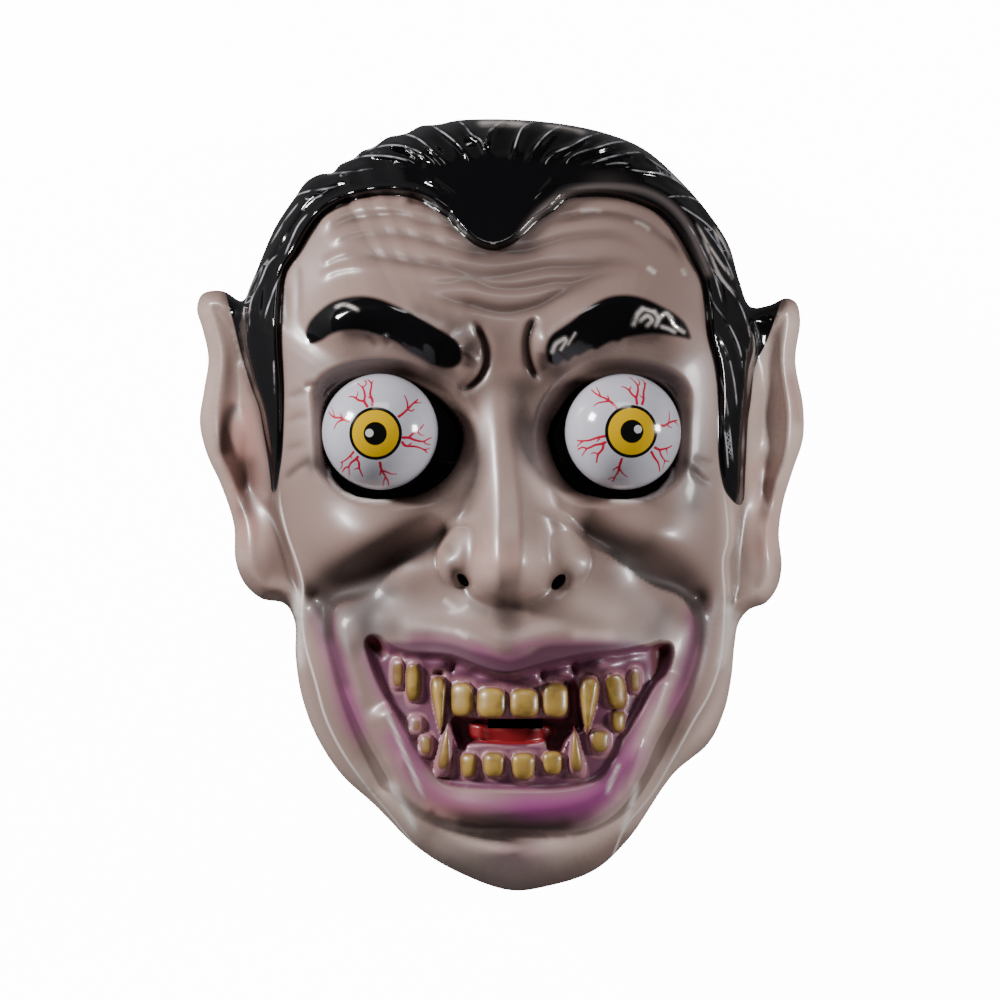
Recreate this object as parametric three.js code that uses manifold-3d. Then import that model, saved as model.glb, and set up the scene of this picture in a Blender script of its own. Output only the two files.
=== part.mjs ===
import * as THREE from 'three';
import { mergeVertices } from 'three/addons/utils/BufferGeometryUtils.js';
import Module from 'manifold-3d';

const wasm = await Module();
wasm.setup();

// Driving sizes in millimetres. +X is right seen from the front, +Y is up the face, +Z comes out of it.
const wall = 1.9;
const shoulder = 5;
const domeHeight = 72;
const domeCentre = [1.75, 1.4];
const domePad = 4;
const hairStep = 4.5;
const lockDepth = 3.6;
const lockPitch = 12;
const eyeRadius = 20.1;
const eyeSeat = 8.5;
const eyeGap = 0.3;
const eyeCentreY = 25;
const eyeCentresX = [-42.2, 42.55];
const eyeSegments = 20;
const eyeRings = 9;
const plateHeight = 50;
const gumDrop = 9;
const pocketDrop = 16;
const recessDrop = 18;
const tongueDrop = 13;
const toothLift = 5.5;
const gridHalf = [110, 138.5];
const gridCells = 256;
const outerError = 0.8;
const innerError = 1.9;
const innerReach = 5;
const innerSlack = 1;

// Outline of the mask, in runs that go clockwise from the left ear
const crown = [
  [-90, 71], [-87, 77], [-79, 96], [-61, 116], [-46, 124], [-34.5, 129.5], [-17.5, 133.5], [2, 134.5],
  [21, 133], [37.5, 129.5], [50.5, 124], [63.5, 112.5], [73, 101.5], [80, 90.5], [83.5, 78.5], [87.5, 69],
];
const rightEar = [
  [94, 69.5], [100, 72], [103.5, 70.5], [105, 64.5], [103.3, 50], [106, 34.5], [106, 23], [102.5, 12],
  [99, 0.5], [97.5, -10.5], [98.5, -21.5], [97, -29], [93, -34.5], [87, -37],
];
const rightTemple = [[90.5, 44], [90, 26], [88, 8.5], [87, -9], [85.5, -26.5]];
const jaw = [
  [83.5, -41.5], [82, -49.5], [81, -60], [78.5, -72], [73, -83.5], [60.5, -94.5], [45, -117], [33, -128],
  [17, -133.5], [3.5, -135], [-16, -128], [-29.5, -119.5], [-43.5, -105.5], [-55.5, -94.5], [-64.5, -80.5],
  [-69.5, -66.5], [-71.5, -53], [-71.8, -41],
];
const leftEar = [
  [-75, -35], [-83.5, -33], [-89.5, -27.5], [-92.5, -19.5], [-93, -7.5], [-97.5, 6.5], [-102.5, 17.5],
  [-105, 28.5], [-103.5, 40], [-102, 51], [-104, 61], [-106, 68.5], [-104, 73.5], [-97, 74.5],
];
const leftTemple = [[-76, -25], [-81, -9], [-86, 8.5], [-89, 26], [-90.5, 47]];

// Borders of the painted and moulded areas
const hairArea = [
  [-77.5, -5.5], [-76.5, 8.5], [-75.5, 19], [-74.5, 38], [-76.5, 58.5], [-76.5, 70.5], [-75, 81], [-66, 95.5],
  [-56, 104.5], [-48.5, 107], [-40, 108], [-29.5, 107.5], [-22, 105.5], [-16, 102], [-10, 95.5], [-5.5, 91.5],
  [-2, 89.5], [2, 91.5], [5.5, 95], [10.5, 100], [17, 103.5], [23, 106.5], [31, 107.5], [41, 107],
  [49.5, 104.5], [60.5, 96.5], [67.5, 84.5], [70.5, 78.5], [72, 69.5], [73, 58.5], [76, 45], [76.5, 19],
  [77.5, 10], [79.5, 4], [83.5, 0.5], [84.5, 10], [85.5, 29.5], [88, 48], [93, 59], [100, 90],
  [80, 130], [2, 150], [-80, 130], [-97, 90], [-92, 72], [-89, 51], [-83, 33.5], [-80, 17],
];
const leftBrow = [
  [-67, 55.5], [-66.5, 61], [-62.5, 66], [-56, 70], [-47.5, 72], [-40, 70.5], [-32, 68], [-24, 64],
  [-18, 59.5], [-14, 55], [-14.5, 48.5], [-21, 48.5], [-28.5, 53], [-36, 57], [-44, 60], [-57.5, 59.5],
];
const rightBrow = [
  [17, 47.5], [15.5, 54], [18.5, 58], [23.5, 62.5], [29.5, 67.5], [36.5, 71], [42.5, 72], [49.5, 71],
  [57.5, 68], [63.5, 62.5], [66, 57.5], [57.5, 59.5], [49.5, 60.5], [38, 60], [31.5, 56.5], [20.5, 49],
];
const leftSocket = [
  [-68, 41], [-65, 45], [-58, 48.5], [-50.5, 49.5], [-42, 49.5], [-34.5, 48], [-26, 45], [-20.5, 41.5],
  [-15.5, 37], [-12.5, 33], [-11.5, 27.5], [-12.5, 20], [-15, 14.5], [-18, 10], [-23.5, 6], [-28.5, 3.5],
  [-37, 2], [-45, 1.8], [-53, 4], [-58, 7.5], [-61.5, 13.5], [-65.5, 22.5], [-67.5, 33],
];
const leftEyeSlot = [
  [-59.5, 15.2], [-15.8, 15.2], [-18.5, 10.4], [-23.5, 7.2], [-28.5, 5], [-37, 3.4], [-45, 3.4], [-52.5, 5.2],
  [-57, 8.6],
];
const muzzle = [
  [-21, -18], [-31.5, -24], [-40, -31], [-52, -35.5], [-56.5, -38], [-56.5, -47.5], [-54, -61.5], [-50.5, -74],
  [-45, -86], [-37, -100], [-26, -110], [-10.5, -115], [7, -116], [24.5, -115], [33, -110.5], [42, -102.5],
  [49, -91.5], [54, -81], [59, -68.5], [61.5, -60], [65, -50], [67, -42.5], [66, -37], [58.5, -32],
  [51, -28], [43, -24], [31, -18], [14, -33.5], [-10.5, -33.5],
];
const mouth = [
  [-46, -47.5], [-42, -46], [-38, -50], [-28, -51.5], [-18.5, -54], [-11, -56.5], [-3.5, -58], [3, -59],
  [10, -57.5], [19, -55.5], [38, -52.5], [47, -51], [54, -48], [59, -48.5], [56.5, -57.5], [52, -66.5],
  [44.5, -81], [39, -90], [32, -96.5], [24.5, -98], [4, -97.5], [-9, -97.5], [-21.5, -96.5], [-28.5, -89],
  [-34.5, -79], [-40, -68.5], [-45, -57.5],
];
const gumArch = [
  [-38, -49.5], [-39.5, -54.5], [-39, -61.5], [-36.5, -66], [-31.5, -81], [-26.5, -89.5], [-21, -95],
  [-9, -98.5], [4, -98.5], [15, -98.5], [26, -98.5], [36, -90.5], [41.5, -81], [49, -65], [51, -57.5],
  [51, -50.5], [38, -50], [19, -53.5], [3, -56.5], [-11, -53.5], [-28, -49.5],
];
const recess = [
  [-15.5, -76.5], [-13.5, -73], [0, -74], [14, -74], [22.5, -73], [24, -81], [21, -87], [-10.5, -87], [-15, -83.5],
];
const tongue = [
  [-11, -77.6], [-5, -78.5], [4, -79.8], [14, -79.2], [19.5, -77.5], [20, -81.5], [17.5, -84.6], [-8.5, -84.4],
];
const mouthSlot = [[-4.2, -74.2], [14.8, -74.2], [14.8, -78.7], [-4.2, -78.7]];
const lowerLip = [
  [-28.5, -89], [-21.5, -96.5], [-9, -97.5], [4, -97.5], [24.5, -98], [32, -96.5], [39, -90], [37.5, -102.5],
  [33, -106], [24, -110], [0, -111], [-14, -110], [-23, -106], [-27.5, -99],
];
const nostrils = [[-12.9, -26.2, 1.9, 3, -0.35], [19.9, -26.6, 2.2, 3.2, 0.35]];

// Ridge and groove lines, each with its height or depth and its half width
const ridges = [
  [[[-62, 57], [-48, 66], [-34, 62], [-20, 52]], 9, 9],
  [[[19, 51], [32, 62], [46, 67], [61, 58]], 9, 9],
  [[[-40, -45], [-28, -48], [-11, -53], [3, -55.5], [19, -52], [38, -49], [50, -47]], 2.5, 3.5],
  [[[-60, -18], [-52, -25], [-45, -27]], 3, 6],
  [[[-72, -22], [-70, -40], [-68, -50], [-62, -66], [-51, -89], [-37, -110]], 4, 6],
  [[[79, -22], [78.5, -40], [75, -60], [63, -84], [50, -104]], 4, 6],
];
const grooves = [
  [[[-62, 91.5], [-49, 98], [-31, 96.5], [-13, 90], [0, 87]], 1.4, 2.6],
  [[[0, 88], [11, 94], [26, 99], [49, 98], [59, 92], [66, 81]], 1.4, 2.6],
  [[[-59, 82], [-40, 90.5], [-19, 87], [-2, 84.5], [17, 89], [42, 92], [63, 78]], 1.5, 2.4],
  [[[-57, 76], [-38, 82], [-18, 79], [-2.5, 77], [15, 80.5], [37, 82], [59, 72]], 1.7, 2.4],
  [[[-24, 72], [-12, 68], [-2.5, 66.5], [13, 68.5], [29, 77], [41, 79]], 2.4, 2.6],
  [[[-10.5, 66], [-5, 56], [-4, 49], [-9, 41], [-17, 38]], 5, 3],
  [[[14.5, 65], [10, 56], [10, 48], [15.5, 41]], 5, 3],
  [[[-23, -19], [-35, -27], [-52, -36], [-57, -39]], 5, 5],
  [[[33, -19], [49, -27], [65, -35], [69, -39]], 5, 5],
  [[[-57, -39], [-56, -50], [-53.5, -62], [-50, -74], [-45, -86], [-38, -100]], 4, 3],
  [[[69, -39], [67, -48], [64, -57], [61, -66.5], [57, -78], [49, -94]], 4, 3],
  [[[-21, -108.5], [-10.5, -113.5], [7, -115], [24, -113.5], [35, -108]], 5, 3],
];
// Rounded bulges and hollows: centre, half widths, height
const mounds = [
  [2, 72, 52, 26, 7],
  [-47, -13, 20, 14, 9],
  [51, -14, 20, 14, 9],
  [-66, 8, 12, 26, 4],
  [69, 8, 12, 26, 4],
  [-44, -34, 18, 9, -6],
  [52, -33, 16, 8, -6],
  [-12.5, 47, 5, 7, 5],
  [17, 52, 4, 6, 3],
  [7, -124, 28, 9, 27],
  [-30, -112, 14, 10, 8],
  [38, -108, 14, 10, 8],
];
const leftEarMounds = [
  [-92, 29, 5, 13, -8], [-87, 8, 6, 11, -7], [-96, 40, 4, 16, 2], [-98, 22, 3, 12, 3], [-83, -17, 9, 13, 5],
];
const rightEarMounds = [
  [93, 32, 5, 12, -8], [92, 6, 5, 11, -7], [99, 46, 3, 16, 2], [100, 24, 3, 12, 3], [91, -20, 8, 13, 5],
];
// Teeth: centre, width, height, taper toward the tip (+ down, - up), lift share
const teeth = [
  [-35, -59.5, 3.2, 8.4, 0, 0.5], [-30, -62, 4.4, 12.6, 0.2, 0.8], [-20, -70, 5.8, 19.4, 1, 1.25],
  [-12.8, -67.6, 6.4, 10.6, 0, 1], [-2.4, -68.6, 9.2, 9.6, 0, 1], [8.4, -68.5, 9.8, 10, 0, 1],
  [19, -67.6, 8.8, 11, 0, 1], [30.2, -69.2, 7.6, 19.8, 1, 1.25], [40.3, -64.4, 5.6, 12, 0.2, 0.8],
  [46.6, -61, 3.2, 7.8, 0, 0.5], [-29, -76.2, 3.6, 5, 0, 0.5], [-25.5, -82.6, 4, 6.4, 0, 0.7],
  [-18.1, -85.6, 5.2, 17.4, -1, 1.2], [-11.2, -90.6, 5, 7, 0, 1], [-2.1, -90.3, 7, 7, 0, 1],
  [8.8, -90, 7, 8.4, 0, 1], [17.9, -89.6, 6.8, 6, 0, 1], [25.6, -86, 6.2, 16, -1, 1.2],
  [34.7, -81.6, 6.4, 7.8, 0, 0.8], [40.6, -75, 4.2, 6.4, 0, 0.6],
];

// Small helpers for smooth blends and distances
const clamp01 = (t) => Math.min(1, Math.max(0, t));
const ramp = (from, to, t) => {
  const s = clamp01((t - from) / (to - from));
  return s * s * (3 - 2 * s);
};
const mix = (a, b, t) => a + (b - a) * t;
const softMax = (a, b, k) => {
  const s = clamp01(0.5 + (a - b) / (2 * k));
  return mix(b, a, s) + k * s * (1 - s);
};
const bell = (distance, width) => Math.exp(-((distance / width) ** 2));

function smoothPath(points, closed, divisions) {
  const curve = new THREE.CatmullRomCurve3(
    points.map(([x, y]) => new THREE.Vector3(x, y, 0)), closed, 'centripetal');
  const count = (closed ? points.length : points.length - 1) * divisions;
  const path = curve.getPoints(count).map((p) => [p.x, p.y]);
  if (closed) path.pop();
  return path;
}

function pathDistance(path, x, y, closed) {
  let best = Infinity;
  let crossings = 0;
  const last = closed ? path.length : path.length - 1;
  for (let i = 0; i < last; i += 1) {
    const [ax, ay] = path[i];
    const [bx, by] = path[(i + 1) % path.length];
    const ex = bx - ax;
    const ey = by - ay;
    const t = clamp01(((x - ax) * ex + (y - ay) * ey) / (ex * ex + ey * ey));
    const dx = x - ax - t * ex;
    const dy = y - ay - t * ey;
    best = Math.min(best, dx * dx + dy * dy);
    if (closed && (ay > y) !== (by > y) && x < ax + ((y - ay) / (by - ay)) * ex) crossings += 1;
  }
  const distance = Math.sqrt(best);
  return crossings % 2 ? -distance : distance;
}

// An area knows its smoothed border and gives the signed distance to it, negative inside
function makeArea(points, divisions = 3, reach = 30) {
  const path = divisions > 1 ? smoothPath(points, true, divisions) : points;
  const xs = path.map((p) => p[0]);
  const ys = path.map((p) => p[1]);
  const box = [Math.min(...xs) - reach, Math.max(...xs) + reach, Math.min(...ys) - reach, Math.max(...ys) + reach];
  const distance = (x, y) => {
    if (x < box[0] || x > box[1] || y < box[2] || y > box[3]) return reach;
    return pathDistance(path, x, y, true);
  };
  return { path, distance };
}

const mirrored = (points) => points.map(([x, y]) => [0.35 - x, y]);
const reversed = (points) => [...points].reverse();

const outline = makeArea([...crown, ...rightEar, ...jaw, ...leftEar], 2, 60);
const headArea = makeArea([...crown, ...rightTemple, ...jaw, ...leftTemple], 2, 60);
const hair = makeArea(hairArea);
const brows = [makeArea(leftBrow), makeArea(rightBrow)];
const sockets = [makeArea(leftSocket), makeArea(mirrored(leftSocket))];
const muzzleArea = makeArea(muzzle);
const mouthArea = makeArea(mouth, 2);
const gumArea = makeArea(gumArch, 2);
const recessArea = makeArea(recess, 2);
const tongueArea = makeArea(tongue, 2);
const lipArea = makeArea(lowerLip, 2);
const lines = [
  ...ridges.map(([points, size, width]) => ({ path: smoothPath(points, false, 4), size, width })),
  ...grooves.map(([points, size, width]) => ({ path: smoothPath(points, false, 4), size: -size, width })),
];

// Distance from the dome centre to the head outline, by direction
const headRadii = [];
for (let i = 0; i < 360; i += 1) {
  const angle = (i * Math.PI) / 180;
  let low = 40;
  let high = 160;
  while (high - low > 0.05) {
    const middle = (low + high) / 2;
    const x = domeCentre[0] + middle * Math.cos(angle);
    const y = domeCentre[1] + middle * Math.sin(angle);
    if (headArea.distance(x, y) < 0) low = middle;
    else high = middle;
  }
  headRadii.push(low);
}

function dome(x, y) {
  const dx = x - domeCentre[0];
  const dy = y - domeCentre[1];
  const angle = (Math.atan2(dy, dx) * 180) / Math.PI + 360;
  const index = Math.floor(angle);
  const radius = mix(headRadii[index % 360], headRadii[(index + 1) % 360], angle - index) + domePad;
  const share = Math.hypot(dx, dy) / radius;
  const up = Math.sin((angle * Math.PI) / 180);
  const power = up > 0 ? 3 - 0.7 * up * up : 3 + 1.5 * up * up;
  return domeHeight * Math.sqrt(Math.max(0, 1 - share ** power));
}

const addMounds = (list, x, y) => list.reduce((sum, [cx, cy, rx, ry, size]) => {
  const spread = ((x - cx) / rx) ** 2 + ((y - cy) / ry) ** 2;
  return spread > 12 ? sum : sum + size * Math.exp(-spread);
}, 0);

// Plate-like ear with a rolled edge, a bowl and a lobe
function ear(x, y) {
  const edge = -outline.distance(x, y);
  const plate = 15 + 0.5 * (106 - Math.abs(x));
  const roll = 3.5 * bell(edge - 4.5, 3.2);
  return plate + roll + addMounds(x < 0 ? leftEarMounds : rightEarMounds, x, y);
}

// Locks that leave the hairline upward and sweep down the sides
function locks(x, y) {
  const dx = x - 1;
  const dy = y - 42;
  const reach = Math.max(Math.hypot(dx, dy), 30);
  const sweep = Math.atan2(dx, dy) * (66 / reach) ** 1.1;
  const phase = (sweep * 66 * Math.PI) / lockPitch + 0.5;
  return lockDepth * (Math.abs(Math.sin(phase)) - 0.5);
}

// Height of the nose bridge line down the face
const bridgeHeight = (y) => {
  if (y > 20) return mix(76, 64, ramp(20, 48, y));
  if (y > -24) return mix(97, 76, (y + 24) / 44);
  return 97 - ((y + 24) / 4) ** 2;
};

function nose(x, y, base) {
  if (y > 60 || y < -46 || Math.abs(x - 3) > 45) return base;
  const width = mix(8, 4.5, ramp(-20, 40, y));
  const across = Math.sqrt((x - 0.5) ** 2 + width * width) - width;
  let z = softMax(base, bridgeHeight(y) - 1.55 * across, 4);
  const lobes = [[0, -22.5, 13, 84.5], [-13.5, -17, 10, 74], [20.5, -18, 11, 74]];
  for (const [cx, cy, radius, seat] of lobes) {
    const inside = radius * radius - (x - cx) ** 2 - (y - cy) ** 2;
    if (inside > 0) z = softMax(z, seat + Math.sqrt(inside), 1.6);
  }
  return z;
}

const muzzleHeight = (x, y) => 84 - 24 * ((x - 5) / 60) ** 2 - 5 * clamp01((-70 - y) / 40) ** 2
  - 5 * clamp01((y + 52) / 20) ** 2;

// Raised amount of one tooth above the gum, from a rounded block or a tapered fang
function toothLiftAt(tooth, x, y) {
  const [cx, cy, width, height, taper, share] = tooth;
  const v = (y - cy) / (height / 2);
  if (Math.abs(v) > 1.05) return 0;
  const along = taper >= 0 ? (1 - v) / 2 : (1 + v) / 2;
  const half = (width / 2) * mix(1, 0.12, Math.abs(taper) * clamp01(along) ** 1.1);
  const u = (x - cx) / half;
  const body = 1 - Math.abs(u) ** 3.2 - Math.abs(v) ** 4;
  return body <= 0 ? 0 : toothLift * share * Math.min(1, body * 1.7) ** 0.5;
}

function mouthInside(x, y, lipTop) {
  const gum = mix(pocketDrop, gumDrop, ramp(0.6, -0.6, gumArea.distance(x, y)));
  let drop = mix(gum, recessDrop, ramp(1, -1.2, recessArea.distance(x, y)));
  drop = mix(drop, tongueDrop, ramp(0.6, -1, tongueArea.distance(x, y)));
  let lift = 0;
  for (const tooth of teeth) lift = Math.max(lift, toothLiftAt(tooth, x, y));
  return lipTop - drop + lift + (lift > 0 ? drop - gumDrop : 0) * ramp(0, 2, lift);
}

// Front surface of the whole moulding at one point
function surface(x, y) {
  const edge = -outline.distance(x, y);
  if (edge < -4) return 14;
  const inHead = -headArea.distance(x, y);
  let z = dome(x, y);
  const skin = ramp(0, 14, inHead);
  let relief = addMounds(mounds, x, y);
  for (const { path, size, width } of lines) {
    const distance = pathDistance(path, x, y, false);
    if (distance < width * 2.6) relief += size * bell(distance, width);
  }
  z += relief * skin;
  const inMuzzle = -muzzleArea.distance(x, y);
  z = mix(z, Math.max(z, muzzleHeight(x, y)), ramp(0, 8, inMuzzle));
  z = nose(x, y, z);
  const lip = -lipArea.distance(x, y);
  if (lip > 0) z += 6 * Math.sqrt(1 - (1 - clamp01(lip / 6)) ** 2);
  const inMouth = -mouthArea.distance(x, y);
  if (inMouth > -0.5) z = mix(z, mouthInside(x, y, muzzleHeight(x, y)), ramp(-0.3, 1.3, inMouth));
  for (const brow of brows) z += 2.2 * ramp(-0.5, 2.2, -brow.distance(x, y));
  for (const socket of sockets) {
    const inSocket = -socket.distance(x, y);
    z -= 5 * bell(Math.max(-inSocket, 0), 6) * ramp(-16, 0, inSocket);
    if (inSocket > -1) z = mix(z, plateHeight, ramp(-0.4, 2.4, inSocket));
  }
  const inHair = -hair.distance(x, y);
  const hairy = ramp(-0.8, 2.2, inHair);
  if (hairy > 0) z += hairy * (hairStep * ramp(-30, 60, y) + locks(x, y));
  if (Math.abs(x) > 66 && y < 78 && y > -40) z = softMax(z, ear(x, y), 3);
  if (edge < shoulder) z *= mix(0.5, 1, Math.sqrt(1 - (1 - clamp01(edge / shoulder)) ** 2));
  return z;
}

// How closely each place is matched: the mouth most, the edge less, nothing outside
function fineness(x, y) {
  const edge = outline.distance(x, y);
  if (edge > 2.5) return 0;
  if (mouthArea.distance(x, y) < 1) return 1.15;
  if (hair.distance(x, y) < 1 && y > 20) return 1.5;
  return edge > -7 ? 0.75 : 1;
}

// Height samples over the whole field
const gridSize = gridCells + 1;
const cell = [(2 * gridHalf[0]) / gridCells, (2 * gridHalf[1]) / gridCells];
const gridX = (i) => -gridHalf[0] + i * cell[0];
const gridY = (j) => -gridHalf[1] + j * cell[1];
const front = new Float64Array(gridSize * gridSize);
const weight = new Float64Array(gridSize * gridSize);
for (let j = 0; j < gridSize; j += 1) {
  for (let i = 0; i < gridSize; i += 1) {
    front[j * gridSize + i] = surface(gridX(i), gridY(j));
    weight[j * gridSize + i] = fineness(gridX(i), gridY(j));
  }
}

// Inside surface: a smoother skin that stays at least the wall's thickness below the front
const back = new Float64Array(gridSize * gridSize);
const reachI = Math.ceil(innerReach / cell[0]);
const reachJ = Math.ceil(innerReach / cell[1]);
for (let j = 0; j < gridSize; j += 1) {
  for (let i = 0; i < gridSize; i += 1) {
    let low = front[j * gridSize + i] - wall;
    for (let b = -reachJ; b <= reachJ; b += 1) {
      for (let a = -reachI; a <= reachI; a += 1) {
        const away = Math.hypot(a * cell[0], b * cell[1]);
        if (away > innerReach) continue;
        const ii = Math.min(gridCells, Math.max(0, i + a));
        const jj = Math.min(gridCells, Math.max(0, j + b));
        const drop = away < wall ? -Math.sqrt(wall * wall - away * away) : 0.4 * (away - wall);
        low = Math.min(low, front[jj * gridSize + ii] + drop);
      }
    }
    back[j * gridSize + i] = low - innerSlack;
  }
}

// Steepness at each sample, so that error is judged across the surface and not only straight up
function slopes(heights) {
  const result = new Float64Array(heights.length).fill(1);
  for (let j = 1; j < gridCells; j += 1) {
    for (let i = 1; i < gridCells; i += 1) {
      const k = j * gridSize + i;
      const rx = (heights[k + 1] - heights[k - 1]) / (2 * cell[0]);
      const ry = (heights[k + gridSize] - heights[k - gridSize]) / (2 * cell[1]);
      result[k] = Math.sqrt(1 + rx * rx + ry * ry);
    }
  }
  return result;
}

// Delaunay triangles over the samples: the worst fitted sample goes in, one at a time
function fitTriangles(heights, tolerance) {
  const slope = slopes(heights);
  const nudge = (k) => 1e-3 * Math.sin(k * 12.9898);
  const px = (k) => gridX(k % gridSize) + nudge(k);
  const py = (k) => gridY(Math.floor(k / gridSize)) + nudge(k + 7);
  const corners = [];
  const twins = [];
  const worst = [];
  const stale = new Set();
  const turn = (a, b, c) => (px(b) - px(a)) * (py(c) - py(a)) - (py(b) - py(a)) * (px(c) - px(a));
  const next = (e) => e - (e % 3) + ((e + 1) % 3);
  const prior = (e) => e - (e % 3) + ((e + 2) % 3);

  function place(first, points, edges) {
    for (let n = 0; n < 3; n += 1) {
      corners[first + n] = points[n];
      twins[first + n] = edges[n];
      if (edges[n] >= 0) twins[edges[n]] = first + n;
    }
    stale.add(first / 3);
    return first;
  }

  function inCircle(a, b, c, d) {
    const rows = [a, b, c].map((k) => [px(k) - px(d), py(k) - py(d)]);
    const [p, q, r] = rows.map(([x, y]) => x * x + y * y);
    const [[ax, ay], [bx, by], [cx, cy]] = rows;
    return ax * (by * r - q * cy) - ay * (bx * r - q * cx) + p * (bx * cy - by * cx) > 0;
  }

  function flip(a) {
    const b = twins[a];
    if (b < 0) return;
    const [tip, from, to, far] = [corners[prior(a)], corners[a], corners[next(a)], corners[prior(b)]];
    if (!inCircle(tip, from, to, far)) return;
    const rim = [twins[next(a)], twins[prior(a)], twins[next(b)], twins[prior(b)]];
    const one = place(a - (a % 3), [tip, far, to], [-1, rim[3], rim[0]]);
    const two = place(b - (b % 3), [far, tip, from], [one, rim[1], rim[2]]);
    flip(one + 1);
    flip(two + 2);
  }

  function measure(t) {
    const [a, b, c] = corners.slice(3 * t, 3 * t + 3);
    const area = turn(a, b, c);
    const columns = [a, b, c].map((k) => k % gridSize);
    const rows = [a, b, c].map((k) => Math.floor(k / gridSize));
    let best = [0, -1];
    for (let j = Math.min(...rows); j <= Math.max(...rows); j += 1) {
      for (let i = Math.min(...columns); i <= Math.max(...columns); i += 1) {
        const k = j * gridSize + i;
        if (weight[k] === 0 || k === a || k === b || k === c) continue;
        const shares = [turn(b, c, k) / area, turn(c, a, k) / area, turn(a, b, k) / area];
        if (Math.min(...shares) <= 0) continue;
        const flat = shares[0] * heights[a] + shares[1] * heights[b] + shares[2] * heights[c];
        const error = (weight[k] * Math.abs(flat - heights[k])) / slope[k];
        if (error > best[0]) best = [error, k];
      }
    }
    worst[t] = best;
  }

  const ends = [0, gridCells, gridSize * gridSize - 1, gridCells * gridSize];
  place(0, [ends[0], ends[1], ends[2]], [-1, -1, -1]);
  place(3, [ends[0], ends[2], ends[3]], [2, -1, -1]);
  for (;;) {
    for (const t of stale) measure(t);
    stale.clear();
    let t = 0;
    for (let k = 1; k < worst.length; k += 1) if (worst[k][0] > worst[t][0]) t = k;
    const [error, sample] = worst[t];
    if (error < tolerance) break;
    const e = 3 * t;
    const [a, b, c] = corners.slice(e, e + 3);
    const [ab, bc, ca] = twins.slice(e, e + 3);
    const one = place(e, [a, b, sample], [ab, -1, -1]);
    const two = place(corners.length, [b, c, sample], [bc, -1, one + 1]);
    const three = place(corners.length, [c, a, sample], [ca, one + 2, two + 1]);
    for (const first of [one, two, three]) flip(first);
  }
  return corners;
}

// A block with the fitted surface on top and a flat underside
function fieldSolid(heights, tolerance, bottom) {
  const triangles = fitTriangles(heights, tolerance);
  const slot = new Map();
  const positions = [];
  const vertex = (index, low) => {
    const key = low ? -index - 1 : index;
    if (!slot.has(key)) {
      slot.set(key, positions.length / 3);
      const i = index % gridSize;
      const j = Math.floor(index / gridSize);
      positions.push(gridX(i), gridY(j), low ? bottom : heights[index]);
    }
    return slot.get(key);
  };
  const faces = [];
  const edges = new Set();
  for (let k = 0; k < triangles.length; k += 3) {
    const [a, b, c] = triangles.slice(k, k + 3);
    faces.push(vertex(a), vertex(b), vertex(c));
    faces.push(vertex(a, true), vertex(c, true), vertex(b, true));
    for (const [from, to] of [[a, b], [b, c], [c, a]]) {
      if (edges.has(`${to},${from}`)) edges.delete(`${to},${from}`);
      else edges.add(`${from},${to}`);
    }
  }
  for (const edge of edges) {
    const [a, b] = edge.split(',').map(Number);
    faces.push(vertex(a), vertex(a, true), vertex(b));
    faces.push(vertex(b), vertex(a, true), vertex(b, true));
  }
  return toSolid(new Float32Array(positions), new Uint32Array(faces));
}

function toSolid(positions, faces) {
  return new wasm.Manifold(new wasm.Mesh({ numProp: 3, vertProperties: positions, triVerts: faces }));
}

function geometrySolid(source) {
  const geometry = source.index ? source.clone() : source;
  geometry.deleteAttribute('normal');
  geometry.deleteAttribute('uv');
  const merged = mergeVertices(geometry, 1e-4);
  return toSolid(new Float32Array(merged.attributes.position.array), new Uint32Array(merged.index.array));
}

function prism(points, from, to) {
  const shape = new THREE.Shape(points.map(([x, y]) => new THREE.Vector2(x, y)));
  const geometry = new THREE.ExtrudeGeometry(shape, { depth: to - from, bevelEnabled: false });
  return geometrySolid(geometry.translate(0, 0, from));
}

// The same closed path moved inward
function insetPath(path, amount) {
  return path.map((point, index) => {
    const before = path[(index + path.length - 1) % path.length];
    const after = path[(index + 1) % path.length];
    const run = [after[0] - before[0], after[1] - before[1]];
    const length = Math.hypot(...run);
    const side = outline.distance(point[0] + run[1] / length, point[1] - run[0] / length) < 0 ? 1 : -1;
    return [point[0] + (side * amount * run[1]) / length, point[1] - (side * amount * run[0]) / length];
  });
}

const ovalPath = ([cx, cy, rx, ry, turn], count = 16) => Array.from({ length: count }, (_, k) => {
  const angle = (k * 2 * Math.PI) / count;
  const x = rx * Math.cos(angle);
  const y = ry * Math.sin(angle);
  return [cx + x * Math.cos(turn) - y * Math.sin(turn), cy + x * Math.sin(turn) + y * Math.cos(turn)];
});

// Shell: outer block cut to the outline, minus the inner block and the through holes
const outer = fieldSolid(front, outerError, -6).intersect(prism(outline.path, 0, 150));
const inner = fieldSolid(back, innerError, -6).intersect(prism(insetPath(outline.path, wall), -4, 150));
const holes = [leftEyeSlot, mirrored(leftEyeSlot), mouthSlot, ...nostrils.map((hole) => ovalPath(hole))];
let shell = outer.subtract(inner);
for (const hole of holes) shell = shell.subtract(prism(hole, -5, 150));

function toGeometry(solid) {
  const mesh = solid.getMesh();
  const geometry = new THREE.BufferGeometry();
  const positions = [];
  for (let k = 0; k < mesh.vertProperties.length; k += mesh.numProp) {
    positions.push(...mesh.vertProperties.slice(k, k + 3));
  }
  geometry.setAttribute('position', new THREE.Float32BufferAttribute(positions, 3));
  geometry.setIndex(Array.from(mesh.triVerts));
  geometry.computeVertexNormals();
  return geometry;
}

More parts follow.
